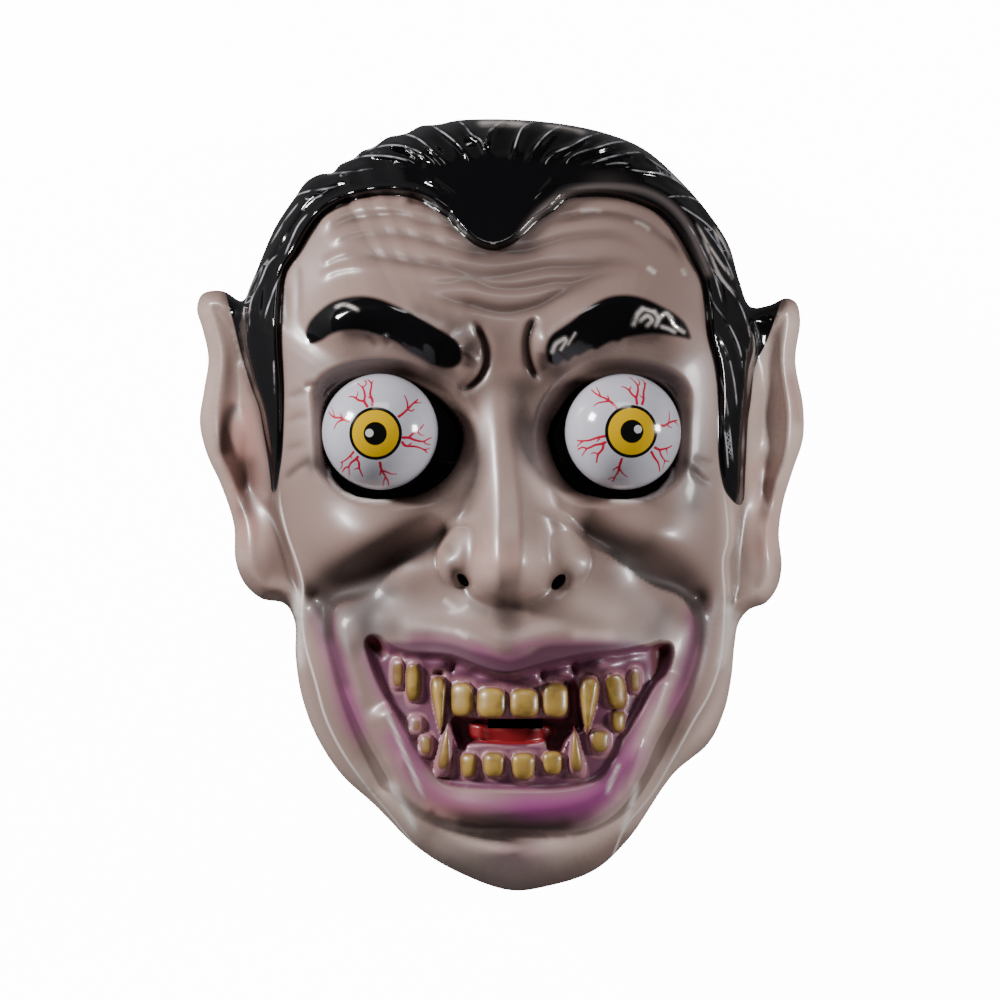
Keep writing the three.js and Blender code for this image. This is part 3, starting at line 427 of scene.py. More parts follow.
BROW_SWELLS: list[Crease] = [
    Crease([(-66, 56), (-58, 62.5), (-48, 67.5), (-34, 66), (-19, 57), (-12, 52)], 7, 9, fade=0.25),
    Crease([(18, 57), (31, 66), (46, 70), (61, 62)], 7, 9, fade=0),
]
CREASES: list[Crease] = [
    # Ridges high on the forehead
    Crease([(-63, 93.8), (-59.1, 99), (-52.5, 102.4), (-45.5, 103.6), (-37.1, 102.7), (-25.9, 99.4)], 0.9, 2),
    Crease([(19.8, 99.8), (29.4, 101.7), (36.4, 102), (44.8, 100.8), (53.5, 96.9), (60.2, 90.6)], 0.9, 2),
    Crease([(-59.8, 89.9), (-52.8, 94.3), (-41.6, 95.7)], 0.8, 1.5, fade=0.3),
    Crease([(-62.3, 82.6), (-58.1, 85.6), (-49, 88.2)], 0.8, 1.4, fade=0.3),
    Crease([(-63, 77.3), (-58.4, 80.7), (-49, 82.4), (-36.8, 81.5)], 0.9, 1.6, fade=0.3),
    # Grooves below the hairline and the long forehead folds
    Crease([(-34.3, 104.6), (-26.6, 105.2), (-19.6, 102.9), (-15, 98)], -1.6, 1.7, crease_shade=0.5),
    Crease([(-60.5, 92.8), (-54.2, 97.6), (-46.2, 99.6), (-33.9, 100.3), (-27.3, 98), (-16.8, 95.7),
            (-11.9, 92.4)], -1.1, 1.8, crease_shade=0.3),
    Crease([(16.1, 97.3), (27.3, 99.4), (37.8, 99.9), (49, 97.6), (58.8, 91), (64.4, 81.9)],
            -1.5, 1.8, crease_shade=0.4),
    Crease([(-58.1, 87.8), (-49, 92.4), (-36.8, 93.4), (-24.8, 91.3), (-15.7, 88.5), (-7.7, 86.8),
            (3.1, 87.1), (10.1, 87.8), (15.7, 89.6), (22.4, 91.7), (31.5, 92.8), (40.2, 92.8), (49, 89.6),
            (56.7, 82.6)], -1.1, 2.1, crease_shade=0.4),
    Crease([(-58.1, 82.9), (-49.7, 85.8), (-39.2, 85), (-30.8, 83.5), (-21, 82.2), (-10.8, 80.1),
            (-4.5, 78.8), (3.1, 79.3), (10.1, 80.7), (17.1, 81.9), (23.8, 81.9), (31.5, 82.2), (39.2, 83.3),
            (49, 81.9), (56, 76.6)], -1.3, 2.2, crease_shade=0.5),
    Crease([(-35, 78), (-21.7, 76.3), (-10.8, 77.2), (-3.8, 75.2), (4.5, 74.5), (11.5, 75.2), (18.5, 76.5),
            (25.2, 77), (34.3, 78.8), (42, 79.8), (50.8, 78)], -1.2, 1.8, fade=0.25, crease_shade=0.4),
    Crease([(-30.8, 73.5), (-21, 71.4), (-12.6, 69.6), (-8.8, 68.9), (-3.8, 67.5), (1.8, 66.7), (7.3, 67.2),
            (14.3, 69.1), (19.6, 71.9), (24.1, 74), (31.5, 76.1), (39.2, 77)],
            -1.7, 2.2, fade=0.25, crease_shade=0.65),
    # Frown lines between the brows, with a small ridge beside them
    Crease([(-10.5, 63.7), (-7, 59.5), (-4.8, 54.2), (-4.8, 49), (-6.9, 44.1), (-10.7, 40.6), (-15.7, 39.5)],
            -2.8, 1.5, sharp=1.6, crease_shade=0.95),
    Crease([(13.3, 65.5), (11.1, 61.6), (9.8, 56.7), (10.1, 51.1), (11.5, 46.2), (14.3, 41.6)],
            -2.8, 1.5, sharp=1.6, crease_shade=0.95),
    Crease([(-15.7, 53.2), (-12.6, 53), (-10.1, 51.6), (-7.3, 47.9)], 0.9, 0.8),
    # Nicks in the left brow and lines on the left temple
    Crease([(-46.9, 59.8), (-44.1, 56.7), (-41.3, 52.8)], -0.5, 1.2, fade=0.4, crease_shade=0.5),
    Crease([(-40.2, 59.1), (-37.4, 54.2)], -0.5, 1.1, fade=0.4, crease_shade=0.5),
    Crease([(-71, 84.3), (-70.2, 77.7), (-70, 60.9)], -0.5, 1.3, fade=0.3, crease_shade=0.2),
    Crease([(-74.2, 77.7), (-74.2, 59.1)], -0.5, 1.2, fade=0.3, crease_shade=0.2),
    # Lines at the outer corners of the eyes
    Crease([(-75.9, 7.7), (-72.8, 10.5), (-68.9, 13.3), (-65.5, 14)], -0.9, 1.3, fade=0.35, crease_shade=0.6),
    Crease([(-75.9, 18.2), (-71.4, 19.9), (-66.5, 20.3)], -0.5, 1.5, fade=0.4, crease_shade=0.3),
    Crease([(-75.6, 27.6), (-70.7, 29.7), (-65.8, 30.8)], -0.5, 1.6, fade=0.4, crease_shade=0.25),
    Crease([(-74.9, 36.4), (-70.7, 37.8), (-65.8, 39.9)], -0.5, 1.6, fade=0.4, crease_shade=0.3),
    Crease([(-68.2, 39.9), (-65.8, 41.1), (-62.3, 41.3)], -0.7, 1.3, fade=0.35, crease_shade=0.5),
    Crease([(65.5, 13.3), (69.3, 9.1), (74.2, 5.9)], -0.9, 1.2, fade=0.35, crease_shade=0.5),
    Crease([(66.5, 16.1), (71.4, 14.3), (75.6, 14)], -0.5, 1.3, fade=0.4, crease_shade=0.3),
    # Right temple
    Crease([(64, 100.4), (71.4, 87.8), (74.5, 78.4), (75.9, 67.9)], -0.9, 1.2, fade=0.3, crease_shade=0.25),
    Crease([(67.9, 94.1), (72.8, 84.7), (76.3, 71.4)], 0.7, 1, fade=0.3),
    # Cheek hollows beside the nose, grooves round the mouth mass
    Crease([(-21, -11.5), (-31.5, -16.4), (-41.3, -21.3), (-51.1, -26.6), (-61.6, -31.8)], -6.5, 6.5, fade=0),
    Crease([(30.8, -9.8), (38.8, -12.9), (49, -18.5), (58.8, -24.5), (66.5, -31.5)], -6.5, 6.5, fade=0),
    Crease([(-63.7, -32.2), (-60.2, -38.8), (-58.9, -46.2), (-56.3, -54.2), (-54.2, -62.6), (-50.8, -74.2),
            (-45.5, -86.4), (-40.2, -96.9)], -2.4, 3.6, fade=0),
    Crease([(68.9, -32.9), (70.7, -39.2), (69.6, -46.2), (67.2, -55.3), (64.4, -63.3), (59.5, -76.3),
            (53.9, -86.8)], -2.4, 3.8, fade=0),
    # Folds and ridges beside the mouth and the chin
    Crease([(-39.2, -32.2), (-43.8, -37.4), (-45.5, -44.1), (-46.9, -49.3)], -0.5, 4, fade=0, crease_shade=0.15),
    Crease([(-54.2, -44.1), (-52.5, -54.6), (-49.3, -65.1), (-45.8, -73.8)], 0.8, 2.8, fade=0.3),
    Crease([(-42.3, -86.4), (-37.8, -96.6), (-33.2, -106.4), (-28, -116.9)], 1.8, 2.2),
    Crease([(-35.7, -84.7), (-31.8, -95.2), (-26.6, -103.6), (-22.4, -107.8)], 1.2, 1.4),
    Crease([(49.7, -80.8), (46.9, -90.3), (43.4, -102.2)], 1.3, 1.8),
    # Groove under the lower lip
    Crease([(-21, -106.4), (-8.8, -110.2), (7, -111.6), (22.8, -110.6), (35, -105)],
            -1.9, 2.4, fade=0.3, crease_shade=0.5),
    # Left ear: rolled edge, bowls, and the groove in front of it
    Crease([(-103.9, 63.7), (-101.7, 61.4), (-98.7, 59.1), (-95.2, 54.2), (-91.5, 49), (-88.5, 44.8),
            (-85.8, 37.4)], 2.2, 1.4, fade=0.1),
    Crease([(-100.1, 55.6), (-97.6, 46.2), (-97.3, 37.1), (-98.3, 25.9), (-96.6, 16.1)],
            -2.2, 2.4, fade=0.15),
    Crease([(-90.6, 35.7), (-94.8, 30.4), (-96.2, 22.4), (-95.5, 15.7)],
            -3.6, 2.2, fade=0.15, sharp=1.8, crease_shade=0.75),
    Crease([(-95.9, 39.5), (-94.5, 41.3), (-92.8, 42.3)], 1, 0.9),
    Crease([(-94.5, 25.2), (-93.8, 26.9), (-92, 29)], 0.9, 0.9),
    Crease([(-93.8, 70.7), (-93.1, 63.7), (-91.1, 54.9), (-87.8, 45.5), (-85, 36), (-82.6, 27.3), (-81, 19.9),
            (-79.1, 11.5), (-77.7, 0.3), (-76.3, -6.6), (-73.8, -15), (-71, -24.8)],
            -1.8, 2.2, fade=0.15, crease_shade=0.35),
    # Right ear
    Crease([(100.1, 48.6), (102.4, 38.1), (104.3, 25.2)], -2.4, 1.7, crease_shade=0.25),
    Crease([(90.3, 43.4), (89.6, 40.6), (88.9, 37.1)], 1, 1),
    Crease([(100.4, 22.4), (99.8, 19.6), (98, 16.4)], 1.2, 1),
    Crease([(93.4, -11.2), (94.5, -14.7), (94.8, -19.6)], 1.3, 1.2),
    Crease([(94.3, 63.3), (91.3, 56), (88.4, 48.6), (85.8, 35.3), (85.4, 28.7), (85, 11.9), (85, -5.6),
            (85.4, -23.1), (85.8, -33.6)], -1.8, 2, fade=0.15, crease_shade=0.25),
    # Lower and upper lip
    Crease([(-42, -68.6), (-39.2, -74.2), (-35.7, -81.2), (-32.9, -86.8), (-29.4, -92.4), (-24.5, -98.3),
            (-17.5, -102.9), (-7, -105), (7, -105.7), (21, -105), (31.5, -102.5), (39.2, -96.6),
            (46.9, -86.1), (53.2, -74.2), (57.4, -63), (58.8, -57.4)], 3.2, 5, fade=0.06),
    Crease([(-36, -44.6), (-30.8, -43.6), (-21, -43.4), (-10.5, -45.5), (-1.8, -48.3), (3.1, -49.3),
            (8.8, -47.6), (16.8, -45.5), (28, -44.4), (38.5, -44.4), (50.8, -44.8)], 1.6, 4.4),
]
MOUNDS: list[Mound] = [
    Mound(48.5, 68.3, 1.6, 1.3, 0.6), Mound(52, 66.8, 1.4, 1.3, 0.6), Mound(55.6, 66.2, 1.5, 1.2, 0.55),
    Mound(59.2, 64.4, 1.5, 1.1, 0.5), Mound(50.2, 63.8, 1.5, 1.2, 0.55), Mound(54.2, 62.9, 1.6, 1.2, 0.5),
    Mound(47, 65.4, 1.2, 1.4, 0.45), Mound(21.5, 57.2, 1.4, 1.1, 0.5), Mound(24.5, 60, 1.3, 1.1, 0.45),
    Mound(2, 72, 52, 26, 7), Mound(-47, -13, 20, 14, 9), Mound(51, -14, 20, 14, 9), Mound(-66, 8, 12, 26, 4),
    Mound(69, 8, 12, 26, 2.6), Mound(-44, -30, 18, 9, -5), Mound(52, -29, 16, 8, -5),
    Mound(-13.0, 50, 4.5, 6.0, 1.6), Mound(15.5, 54, 3.5, 6, 1.4), Mound(7, -122, 31, 12, 21),
    Mound(-30, -112, 14, 10, 8), Mound(38, -108, 14, 10, 8),
]
EAR_MOUNDS: list[Mound] = [
    Mound(-88.6, 26.6, 4, 8, 3), Mound(-88.2, 7.7, 4.8, 9, -4.5), Mound(-96, 40, 4, 16, 2),
    Mound(-98, 22, 3, 12, 3), Mound(-83.3, -18, 8, 13, 5), Mound(93.8, 31, 5, 8, -3),
    Mound(93.5, 13, 5, 4.5, -2.2), Mound(92.4, 3, 3.2, 8, -3.4), Mound(99, 46, 3, 16, 2),
    Mound(100, 24, 3, 12, 3), Mound(91, -20, 8, 13, 5), Mound(88, 23, 1.5, 3.5, -3),
]
GUM_MOUNDS: list[Mound] = [
    Mound(-20.4, -55, 4, 3, 2.6), Mound(-12, -57, 3.4, 2.6, 1.8), Mound(-4.9, -60.2, 3.6, 2.2, 1.2),
    Mound(10.3, -59.8, 5.5, 2.6, 2.2), Mound(21.4, -58.2, 4.4, 2.8, 2.6), Mound(36.8, -56, 7, 4.2, 4.2),
    Mound(46.5, -53.5, 4.6, 3.4, 2.2), Mound(-30, -54.6, 5, 2.4, 1.6), Mound(-20.8, -58.6, 1.6, 1.2, -2.2),
    Mound(-16.4, -56.3, 1.2, 1.8, -1.8), Mound(14.5, -59.2, 1.2, 2, -2), Mound(25.5, -57, 1.2, 2.4, -2.2),
    Mound(22.5, -61.8, 3.6, 1.2, -1.8),
]
TEETH: list[Tooth] = [
    Tooth(-35.4, -58.9, 5.0, 11.4, lift=0.6, inset=0.9), Tooth(-30.0, -61.8, 6.0, 13.8, 0.1, 0.85),
    Tooth(-20.9, -69.4, 7.4, 20.6, 1, 1.3, -0.05), Tooth(-13.2, -67.6, 8.8, 12.6),
    Tooth(-3.0, -68.7, 10.8, 11.2), Tooth(8.5, -68.8, 10.8, 10.6), Tooth(19.2, -67.8, 9.8, 12.6),
    Tooth(30.6, -69.6, 9.0, 20.2, 1, 1.3, 0.05), Tooth(40.2, -65.0, 7.8, 12.8, 0.15, 0.85, -0.1),
    Tooth(46.8, -61.2, 4.8, 9.8, lift=0.6, inset=0.9), Tooth(-28.9, -76.6, 6.0, 7.6, lift=0.6, inset=1.3),
    Tooth(-25.6, -83.4, 5.6, 8.6, lift=0.75, inset=1.0), Tooth(-19.0, -84.6, 8.0, 20.0, -1, 1.25, 0.12, 1.3),
    Tooth(-10.9, -90.4, 6.6, 9.2, 0.25, 0.9), Tooth(-2.2, -90.1, 8.4, 9.2, 0.15, 0.9),
    Tooth(8.1, -90.6, 9.4, 10, 0.25, 0.95), Tooth(18.3, -89.4, 8.4, 8.8, 0.25, 0.9),
    Tooth(26.2, -85.4, 7.4, 18.6, -1, 1.25, -0.06, 1.1), Tooth(34.6, -82.0, 8.2, 9.6, 0.2, 0.85, inset=1.1),
    Tooth(40.9, -75.2, 5.8, 8.0, 0.25, 0.75),
]
HAIR_LINES: list[Crease] = [
    Crease([(-25.9, 133.7), (-23.7, 132.1), (-17.3, 127.4), (-13.3, 123.4), (-9.8, 116.2), (-8, 107.8)],
            1.7, 1.5),
    Crease([(-15.7, 134.4), (-12.9, 132.4), (-9.8, 128.6), (-6.6, 126.3), (-4.2, 116.9)], 1.5, 1.5),
    Crease([(-5.6, 125.3), (-3.5, 130.3), (-0.5, 132.7), (2.1, 134)], 1.5, 1.3),
    Crease([(-37.1, 130.5), (-33.8, 129.3), (-29.5, 127.7), (-24.5, 123.9), (-18.2, 116.9), (-14.7, 111.3)],
            1.7, 1.5),
    Crease([(-48.3, 122.5), (-44.6, 124), (-38.7, 125), (-33.5, 124.5), (-27.6, 122.1), (-21, 116.9)],
            1.7, 1.5),
    Crease([(-54.2, 119.3), (-51.4, 120.4), (-46.9, 121.3), (-39.2, 121), (-33.2, 119.7), (-28, 117.6)],
            1.7, 1.5),
    Crease([(-61.2, 114.1), (-58.4, 115.3), (-53.9, 115.5), (-48.3, 116.2), (-40.2, 116.9)], 1.7, 1.5),
    Crease([(-74.2, 105.3), (-71, 107.7), (-66.5, 109), (-60.9, 109.7), (-54.2, 111.3)], 1.7, 1.5),
    Crease([(-68.2, 106.4), (-65.8, 106), (-60.9, 108)], 1.3, 1.2),
    Crease([(-68.9, 106.4), (-73.5, 100.8), (-75.9, 97.3), (-81.2, 88.5)], 1.5, 1.4),
    Crease([(-65.8, 102.2), (-70, 97.3), (-72.4, 92.4), (-75.6, 84.7)], 1.3, 1.4),
    Crease([(-78.4, 88.2), (-84, 81), (-87.5, 74.5), (-89.2, 67.5), (-88.9, 60.9)], 1.5, 1.4),
    Crease([(-75.6, 88.2), (-80.5, 83.9), (-83.4, 77.5), (-86.7, 70.6), (-87.1, 60.9), (-86.1, 53.9)],
            1.3, 1.3),
    Crease([(-73.5, 84.7), (-78.4, 74.9), (-81.9, 63.7), (-82.9, 53.2), (-81.9, 43.4)], 1.2, 1.4),
    Crease([(-72.1, 78.4), (-75.9, 67.9), (-78.4, 55.6), (-78.4, 44.1), (-78, 29.4)], 1.2, 1.3),
    Crease([(2.8, 134), (0, 132.7), (-3.5, 129.5), (-4.9, 123.9)], 1.4, 1.3),
    Crease([(14.7, 134), (8.5, 131.9), (5.8, 126.5), (4.2, 118.6), (3.5, 109.9)], 1.5, 1.5),
    Crease([(25.2, 133.3), (19.4, 131), (15.2, 127.7), (10.5, 121.1), (7, 112.7)], 1.7, 1.5),
    Crease([(37.1, 130.2), (30.2, 127.7), (24.8, 124.7), (17.6, 121.1), (12.6, 114.8)], 1.7, 1.5),
    Crease([(46.2, 126.3), (41.1, 126.2), (33.9, 124.1), (26.6, 121.7), (20.3, 116.9)], 1.7, 1.5),
    Crease([(50.8, 122.5), (46.5, 122.4), (39.9, 121.1), (32.1, 118.6), (25.2, 115.1)], 1.7, 1.5),
    Crease([(48.3, 123.2), (54.4, 118.6), (59.8, 115), (65.8, 109.9)], 1.7, 1.5),
    Crease([(43.8, 116.5), (49.5, 115.7), (56.7, 114.8), (62.8, 112), (68.9, 106.8)], 1.7, 1.5),
    Crease([(33.2, 116.5), (37.4, 118.1), (41.1, 118.6), (46.2, 118.3)], 1.2, 1.1),
    Crease([(56, 106.4), (63.3, 107.2), (68.8, 106), (74.9, 100), (80.5, 90.3)], 1.7, 1.5),
    Crease([(61.6, 104.3), (65.8, 101.8), (71.9, 97.6), (77.3, 91.6), (81.9, 82.6)], 1.5, 1.3),
    Crease([(64.6, 98.8), (68.8, 91.6), (74.9, 78.3), (77.7, 67.9)], 1.4, 1.2),
    Crease([(70, 97.6), (73, 94), (77.3, 87.9), (80.8, 80.7), (84.3, 71.4)], 1.4, 1.2),
    Crease([(72.1, 84.7), (76.6, 78.3), (82.7, 71), (86.1, 62.6), (87.5, 55.6)], 1.4, 1.3),
    Crease([(71.8, 76.6), (74.2, 69.9), (79.7, 62), (83.3, 53.9), (84.7, 43.4)], 1.4, 1.3),
    Crease([(74.9, 60.9), (79.1, 52.1), (81.5, 41.6), (82.6, 29.4)], 1.2, 1.3),
    Crease([(75.6, 46.9), (78.4, 36.4), (80.1, 22.4), (81.2, 11.9)], 1, 1.2),
    Crease([(76.6, 32.9), (78.4, 22.4), (79.4, 10.1)], 0.8, 1),
    Crease([(-11.9, 110.6), (-10.5, 108.3), (-8, 101.3), (-4.7, 96.6)], 1.3, 1.2, fade=0.15),
    Crease([(12.9, 106.4), (10.1, 100.8), (7, 95.2)], 1, 1.2),
]
AIRBRUSH: dict[str, list[Spray]] = {
    # Strokes that take the painted shade of sunken places off where the face should look lit
    "lit": [
        Spray([(-8, 14), (-14, 4), (-20, -2), (-30, -5.5)], 5, 1, 0),
        Spray([(11, 20), (11, 12), (15, 3), (22, -2.5), (30, -5)], 5, 1, 0),
        Spray([(-38, -103), (-25, -113.5), (-8, -119), (8, -120), (24, -118)], 4, 1, 0),
        Spray([(-24, -95), (-10, -97.5), (8, -98), (24, -97)], 2.6, 0.8, 0.1),
    ],
    # Dark brown in the cheek hollows beside the mouth mass: the mask's airbrush, and painted shade
    "hollow_shade": [
        Spray([(-37, -20.5), (-46, -28), (-54, -32), (-61.5, -34.5)], 7.5, 0.9, 0),
        Spray([(-25.5, -13.5), (-31, -16.5), (-38, -21)], 4.2, 0.6, 0),
        Spray([(-34, -13.5), (-44, -18.5), (-55, -26)], 7, 0.55, 0),
        Spray([(-60, -33), (-60.5, -39), (-59, -45)], 3.4, 0.85, 0),
        Spray([(40.5, -17.6), (49, -23.9), (58.8, -30), (66.2, -34.9)], 6.2, 0.98, 0),
        Spray([(28, -9), (34, -12), (41, -17)], 4.8, 0.55, 0),
        Spray([(42, -14.3), (52, -19.3), (63, -26.8)], 6.5, 0.45, 0),
        Spray([(67, -34), (69.8, -40), (69.2, -47)], 3, 0.65, 0),
    ],
    "shade": [
        Spray([(-12.9, 55.6), (-10.8, 51.1), (-11.5, 46.2)], 2.6, 0.85),
        Spray([(15, 53.2), (14.3, 49), (15.7, 45.5)], 2.4, 0.7),
        Spray([(-15.7, 39.9), (-11.5, 35.7), (-9.7, 30.1)], 2.4, 0.35),
        Spray([(9.4, 31), (9.4, 22), (12.5, 13)], 3, 0.3, 0.15),
        Spray([(0, -35.6), (3, -36.6), (5.6, -35.6)], 3.2, 0.85, 0),
        Spray([(-12, -33), (-8, -36), (-3, -37.5)], 2.4, 0.4),
        Spray([(20, -31), (15, -35), (9, -37.5)], 2.4, 0.4),
        Spray([(-9, 86.5), (1, 84.5), (11, 88)], 4.5, 0.5, 0),
        Spray([(8.5, 92), (13.5, 98.5), (21, 103.5)], 2.6, 0.5, 0),
        Spray([(-12, 79), (6, 76), (26, 79)], 12, 0.22, 0),
        Spray([(-10, 62), (2, 58), (13, 62)], 7, 0.18, 0),
        Spray([(-49.5, -37.5), (-46, -42), (-44.5, -48)], 4.6, 0.75, 0),
        Spray([(-50, -37), (-40, -33.5), (-31, -31)], 5, 0.3, 0),
        Spray([(-36, -43), (-26, -44)], 3.4, 0.3, 0),
        Spray([(-53, 59.5), (-44, 58), (-35, 54.5), (-26, 49.5), (-17, 45.5)], 2.2, 0.6, 0),
        Spray([(20, 46), (30, 51.5), (42, 56.5), (54, 58)], 2, 0.5, 0),
        Spray([(7.5, 40), (14, 43), (20, 45)], 4, 0.55, 0),
        Spray([(-6, 41), (0, 42), (7, 41)], 4.5, 0.42, 0),
        Spray([(10.5, 38), (12, 32), (14.5, 27)], 4.5, 0.5, 0),
        Spray([(-24, 45.5), (-17, 43), (-11, 38)], 3.5, 0.45, 0),
        Spray([(-28, 67), (-19, 63.5), (-11.5, 56.5)], 3.4, 0.42, 0),
        Spray([(-44, -30), (-42.5, -36), (-40.5, -42)], 5.2, 0.55, 0),
        Spray([(-25, 103), (-19, 99), (-13, 92.5), (-8.5, 88)], 2.4, 0.6, 0),
        Spray([(1, -39), (5, -41.5)], 3, 0.5, 0),
        Spray([(-56.5, -35.5), (-54.5, -42), (-53, -49)], 4.2, 0.55, 0),
        Spray([(-51, -32), (-45, -33), (-39, -31)], 4.4, 0.55, 0),
        Spray([(-46, -35), (-46.5, -40), (-45.5, -45)], 3.6, 0.5, 0),
        Spray([(65.5, 31), (67, 14), (67, 0)], 4.5, 0.65, 0),
        Spray([(57, -38), (54, -44)], 4.5, 0.5, 0),
        Spray([(-62.5, -31), (-60.5, -38), (-59, -46), (-56.4, -55), (-53, -66)], 2.6, 0.6, 0.1),
        Spray([(68.4, -33), (68, -43), (65.6, -54), (61, -68)], 2.6, 0.55),
        Spray([(1.8, -41.3), (2.4, -45.5), (2.8, -49.7)], 3, 0.4, 0),
        Spray([(-19.6, -12.6), (-16.8, -16.8), (-16.8, -22.4), (-13.3, -25.9)], 1.6, 0.35),
        Spray([(29, -12.6), (31.5, -16.8), (30.1, -23.1), (25.2, -27.3)], 1.6, 0.35),
        Spray([(-17, -109.8), (-8.8, -111.4), (6, -112.2), (18, -111.8), (27, -110)], 2.8, 0.75, 0.15),
        Spray([(-70, 44.1), (-61.2, 48.3), (-49, 51.1), (-38.5, 51.1), (-24.5, 47.6)], 2.4, 0.3),
        Spray([(70, 44.1), (61.2, 48.3), (49, 51.1), (38.5, 51.1), (24.5, 47.6)], 2.4, 0.3),
        Spray([(-66.1, 15), (-64.8, 13.3)], 2.4, 0.8, 0),
        Spray([(65.1, 14.3), (66.1, 12.2)], 2.4, 0.8, 0),
        Spray([(-91, 35.7), (-94.8, 30.4), (-96.2, 22.4), (-95.2, 15.4)], 2.6, 0.65),
        Spray([(-87.8, 13.6), (-88.2, 6.6), (-88.5, -1.8)], 3.8, 0.75, 0),
        Spray([(93.8, 38.5), (93.8, 31.1), (92.5, 25)], 4, 0.25, 0),
        Spray([(93.8, 14.5), (93.5, 8)], 4.5, 0.28, 0),
        Spray([(92.8, 7), (92.2, -3)], 2.8, 0.4, 0),
        Spray([(-93.8, 70.7), (-91.3, 54.9), (-85, 36), (-81.2, 19.9), (-78.4, 4.9), (-76.6, -5.9)],
                1.6, 0.3),
        Spray([(-39.5, -52.8), (-35, -65.1), (-29, -77.3), (-22.4, -91.3)], 2, 0.3),
        Spray([(50.8, -54.6), (46.2, -72.1), (38.5, -86.1), (31.5, -94.8)], 2, 0.3),
        Spray([(-31.5, -51.8), (-17.5, -53.2), (0, -57.7), (15.7, -54.9), (35, -51.4)], 1.8, 0.75, 0.1),
    ],
    "purple": [
        Spray([(-65.1, -31.5), (-60.9, -38.8), (-59.5, -46.5), (-56.7, -54.6), (-54.6, -62.6), (-51.1, -74.2),
                (-46.2, -86.4)], 3.7, 0.8, 0.15),
        Spray([(68, -32.2), (68, -42.7), (66, -53.2), (62.6, -64.8), (57.8, -77.4)], 3.6, 0.72, 0.15),
        Spray([(-39.2, -32.2), (-44.8, -37.8), (-45.5, -44.8), (-45.8, -52.8)], 2.8, 0.35),
        Spray([(-46.5, -47.6), (-42.7, -58.8), (-36.4, -71.4), (-29.7, -83.3), (-23.4, -93.1)], 3, 0.5, 0.1),
        Spray([(58.8, -51.1), (53.9, -65.1), (47.6, -75.6), (41.3, -86.1), (34.3, -95.9)], 2.8, 0.6, 0.1),
        Spray([(1.8, -50.4), (10.5, -48.4), (21, -48.1), (36.8, -48.4), (49, -49)], 2.2, 0.42, 0.12),
        Spray([(-35.7, -46.9), (-24.5, -46.5), (-12.2, -48.6), (-1.8, -51.4)], 2.4, 0.4),
        Spray([(-12.2, -50.4), (-3.5, -52.5), (4.2, -53.5), (12.2, -51.1)], 2.6, 0.55),
        Spray([(-7, -105.7), (7, -105), (21, -104.6), (31.5, -102.5), (39.2, -95.9), (46.9, -85.4),
                (53.2, -73.8)], 5.4, 0.9, 0.25),
        Spray([(12, -106.8), (24.5, -105.4), (35, -100.5)], 5, 0.5, 0),
        Spray([(-36.8, -80.8), (-30.8, -91.3), (-23.8, -99.4), (-15.7, -102.8), (-3.5, -104), (8, -104.5)],
                4.2, 0.55, 0),
        Spray([(2, -121.5), (10, -122.5)], 6, 0.28, 0),
    ],
    # Painted light: paler patches on the nose sides, jaw, chin and ears that stand in for light falling there
    "painted_light": [
        Spray([(-12, 9), (-15.5, 2), (-21, -3)], 4, 0.75, 0),
        Spray([(12.5, 15), (15, 4), (22, -2)], 3.6, 0.5, 0),
        Spray([(29, -34), (38, -38)], 6.5, 0.6, 0),
        Spray([(27, -45.3), (38, -45.6)], 2.2, 0.6, 0),
        Spray([(-72, -50), (-70, -64), (-64, -79), (-54, -93), (-43, -106)], 4.5, 0.4, 0),
        Spray([(-46, -94), (-38, -105), (-30, -114)], 5.5, 0.6, 0),
        Spray([(57, -60), (52, -74), (46, -88), (40, -100)], 3.6, 0.75, 0),
        Spray([(-18, -118.5), (4, -120), (26, -118.5), (40, -110)], 4, 0.75, 0),
        Spray([(81, -44), (79.5, -56), (76, -70), (67, -84), (58, -96), (47, -110)], 4.5, 0.7, 0),
        Spray([(50, -86), (45, -97), (38, -106)], 5.5, 0.6, 0),
        Spray([(-17, -118), (-4, -120.5), (6, -122), (18, -121)], 6, 0.8, 0),
        Spray([(-4, -21), (4, -25), (11, -20)], 6, 0.4, 0),
        Spray([(20, -13), (26, -21)], 5, 0.45, 0),
        Spray([(-20, -119), (-8, -124), (6, -127)], 5, 0.35, 0),
        Spray([(103, 62), (103.5, 40), (104.5, 26), (101, 8), (98, -12)], 7, 1, 0),
        Spray([(95, 50), (94, 30), (93, 10), (92, -10), (92, -28)], 6, 0.7, 0),
        Spray([(91, 55), (88, 30), (87, 0), (87, -28)], 4, 0.5, 0),
        Spray([(-104, 66), (-102, 48), (-104, 30), (-100, 14), (-95, 0), (-92, -18)], 4, 0.5, 0),
        Spray([(79.5, 14), (80.5, -8), (80, -30)], 3.5, 0.5, 0),
        Spray([(12, 36), (11, 20), (18, 4), (27, -1)], 3.5, 0.25, 0),
    ],
    "rose": [
        Spray([(-93.8, 39.9), (-89.9, 22.4), (-89.2, 1.4), (-84.7, -21.3)], 6, 0.4),
        Spray([(99.8, 46.9), (102.5, 36.4), (103.9, 25.9)], 3, 0.3),
        Spray([(91, 17.1), (92.8, 1.4), (91, -24.8)], 5, 0.4),
        Spray([(-10.5, -12.6), (0, -19.6), (10.5, -19.6)], 7, 0.2),
        Spray([(-28, -101.8), (-17.5, -105.7), (-3.5, -107.8)], 5, 0.35),
    ],
    # Painted highlights: glints on the brows, upper lip and hair, bright streaks on the jaw and forehead, and
    # a light line along the eye slots that is partly their bare cut edge
    "gleam": [
        Spray([(-39, -95), (-35.5, -101), (-31.6, -108.5), (-28.4, -116)], 1.3, 0.9),
        Spray([(-40, -70), (-36.8, -77.4), (-31.5, -90), (-25.5, -103.5)], 0.6, 0.7),
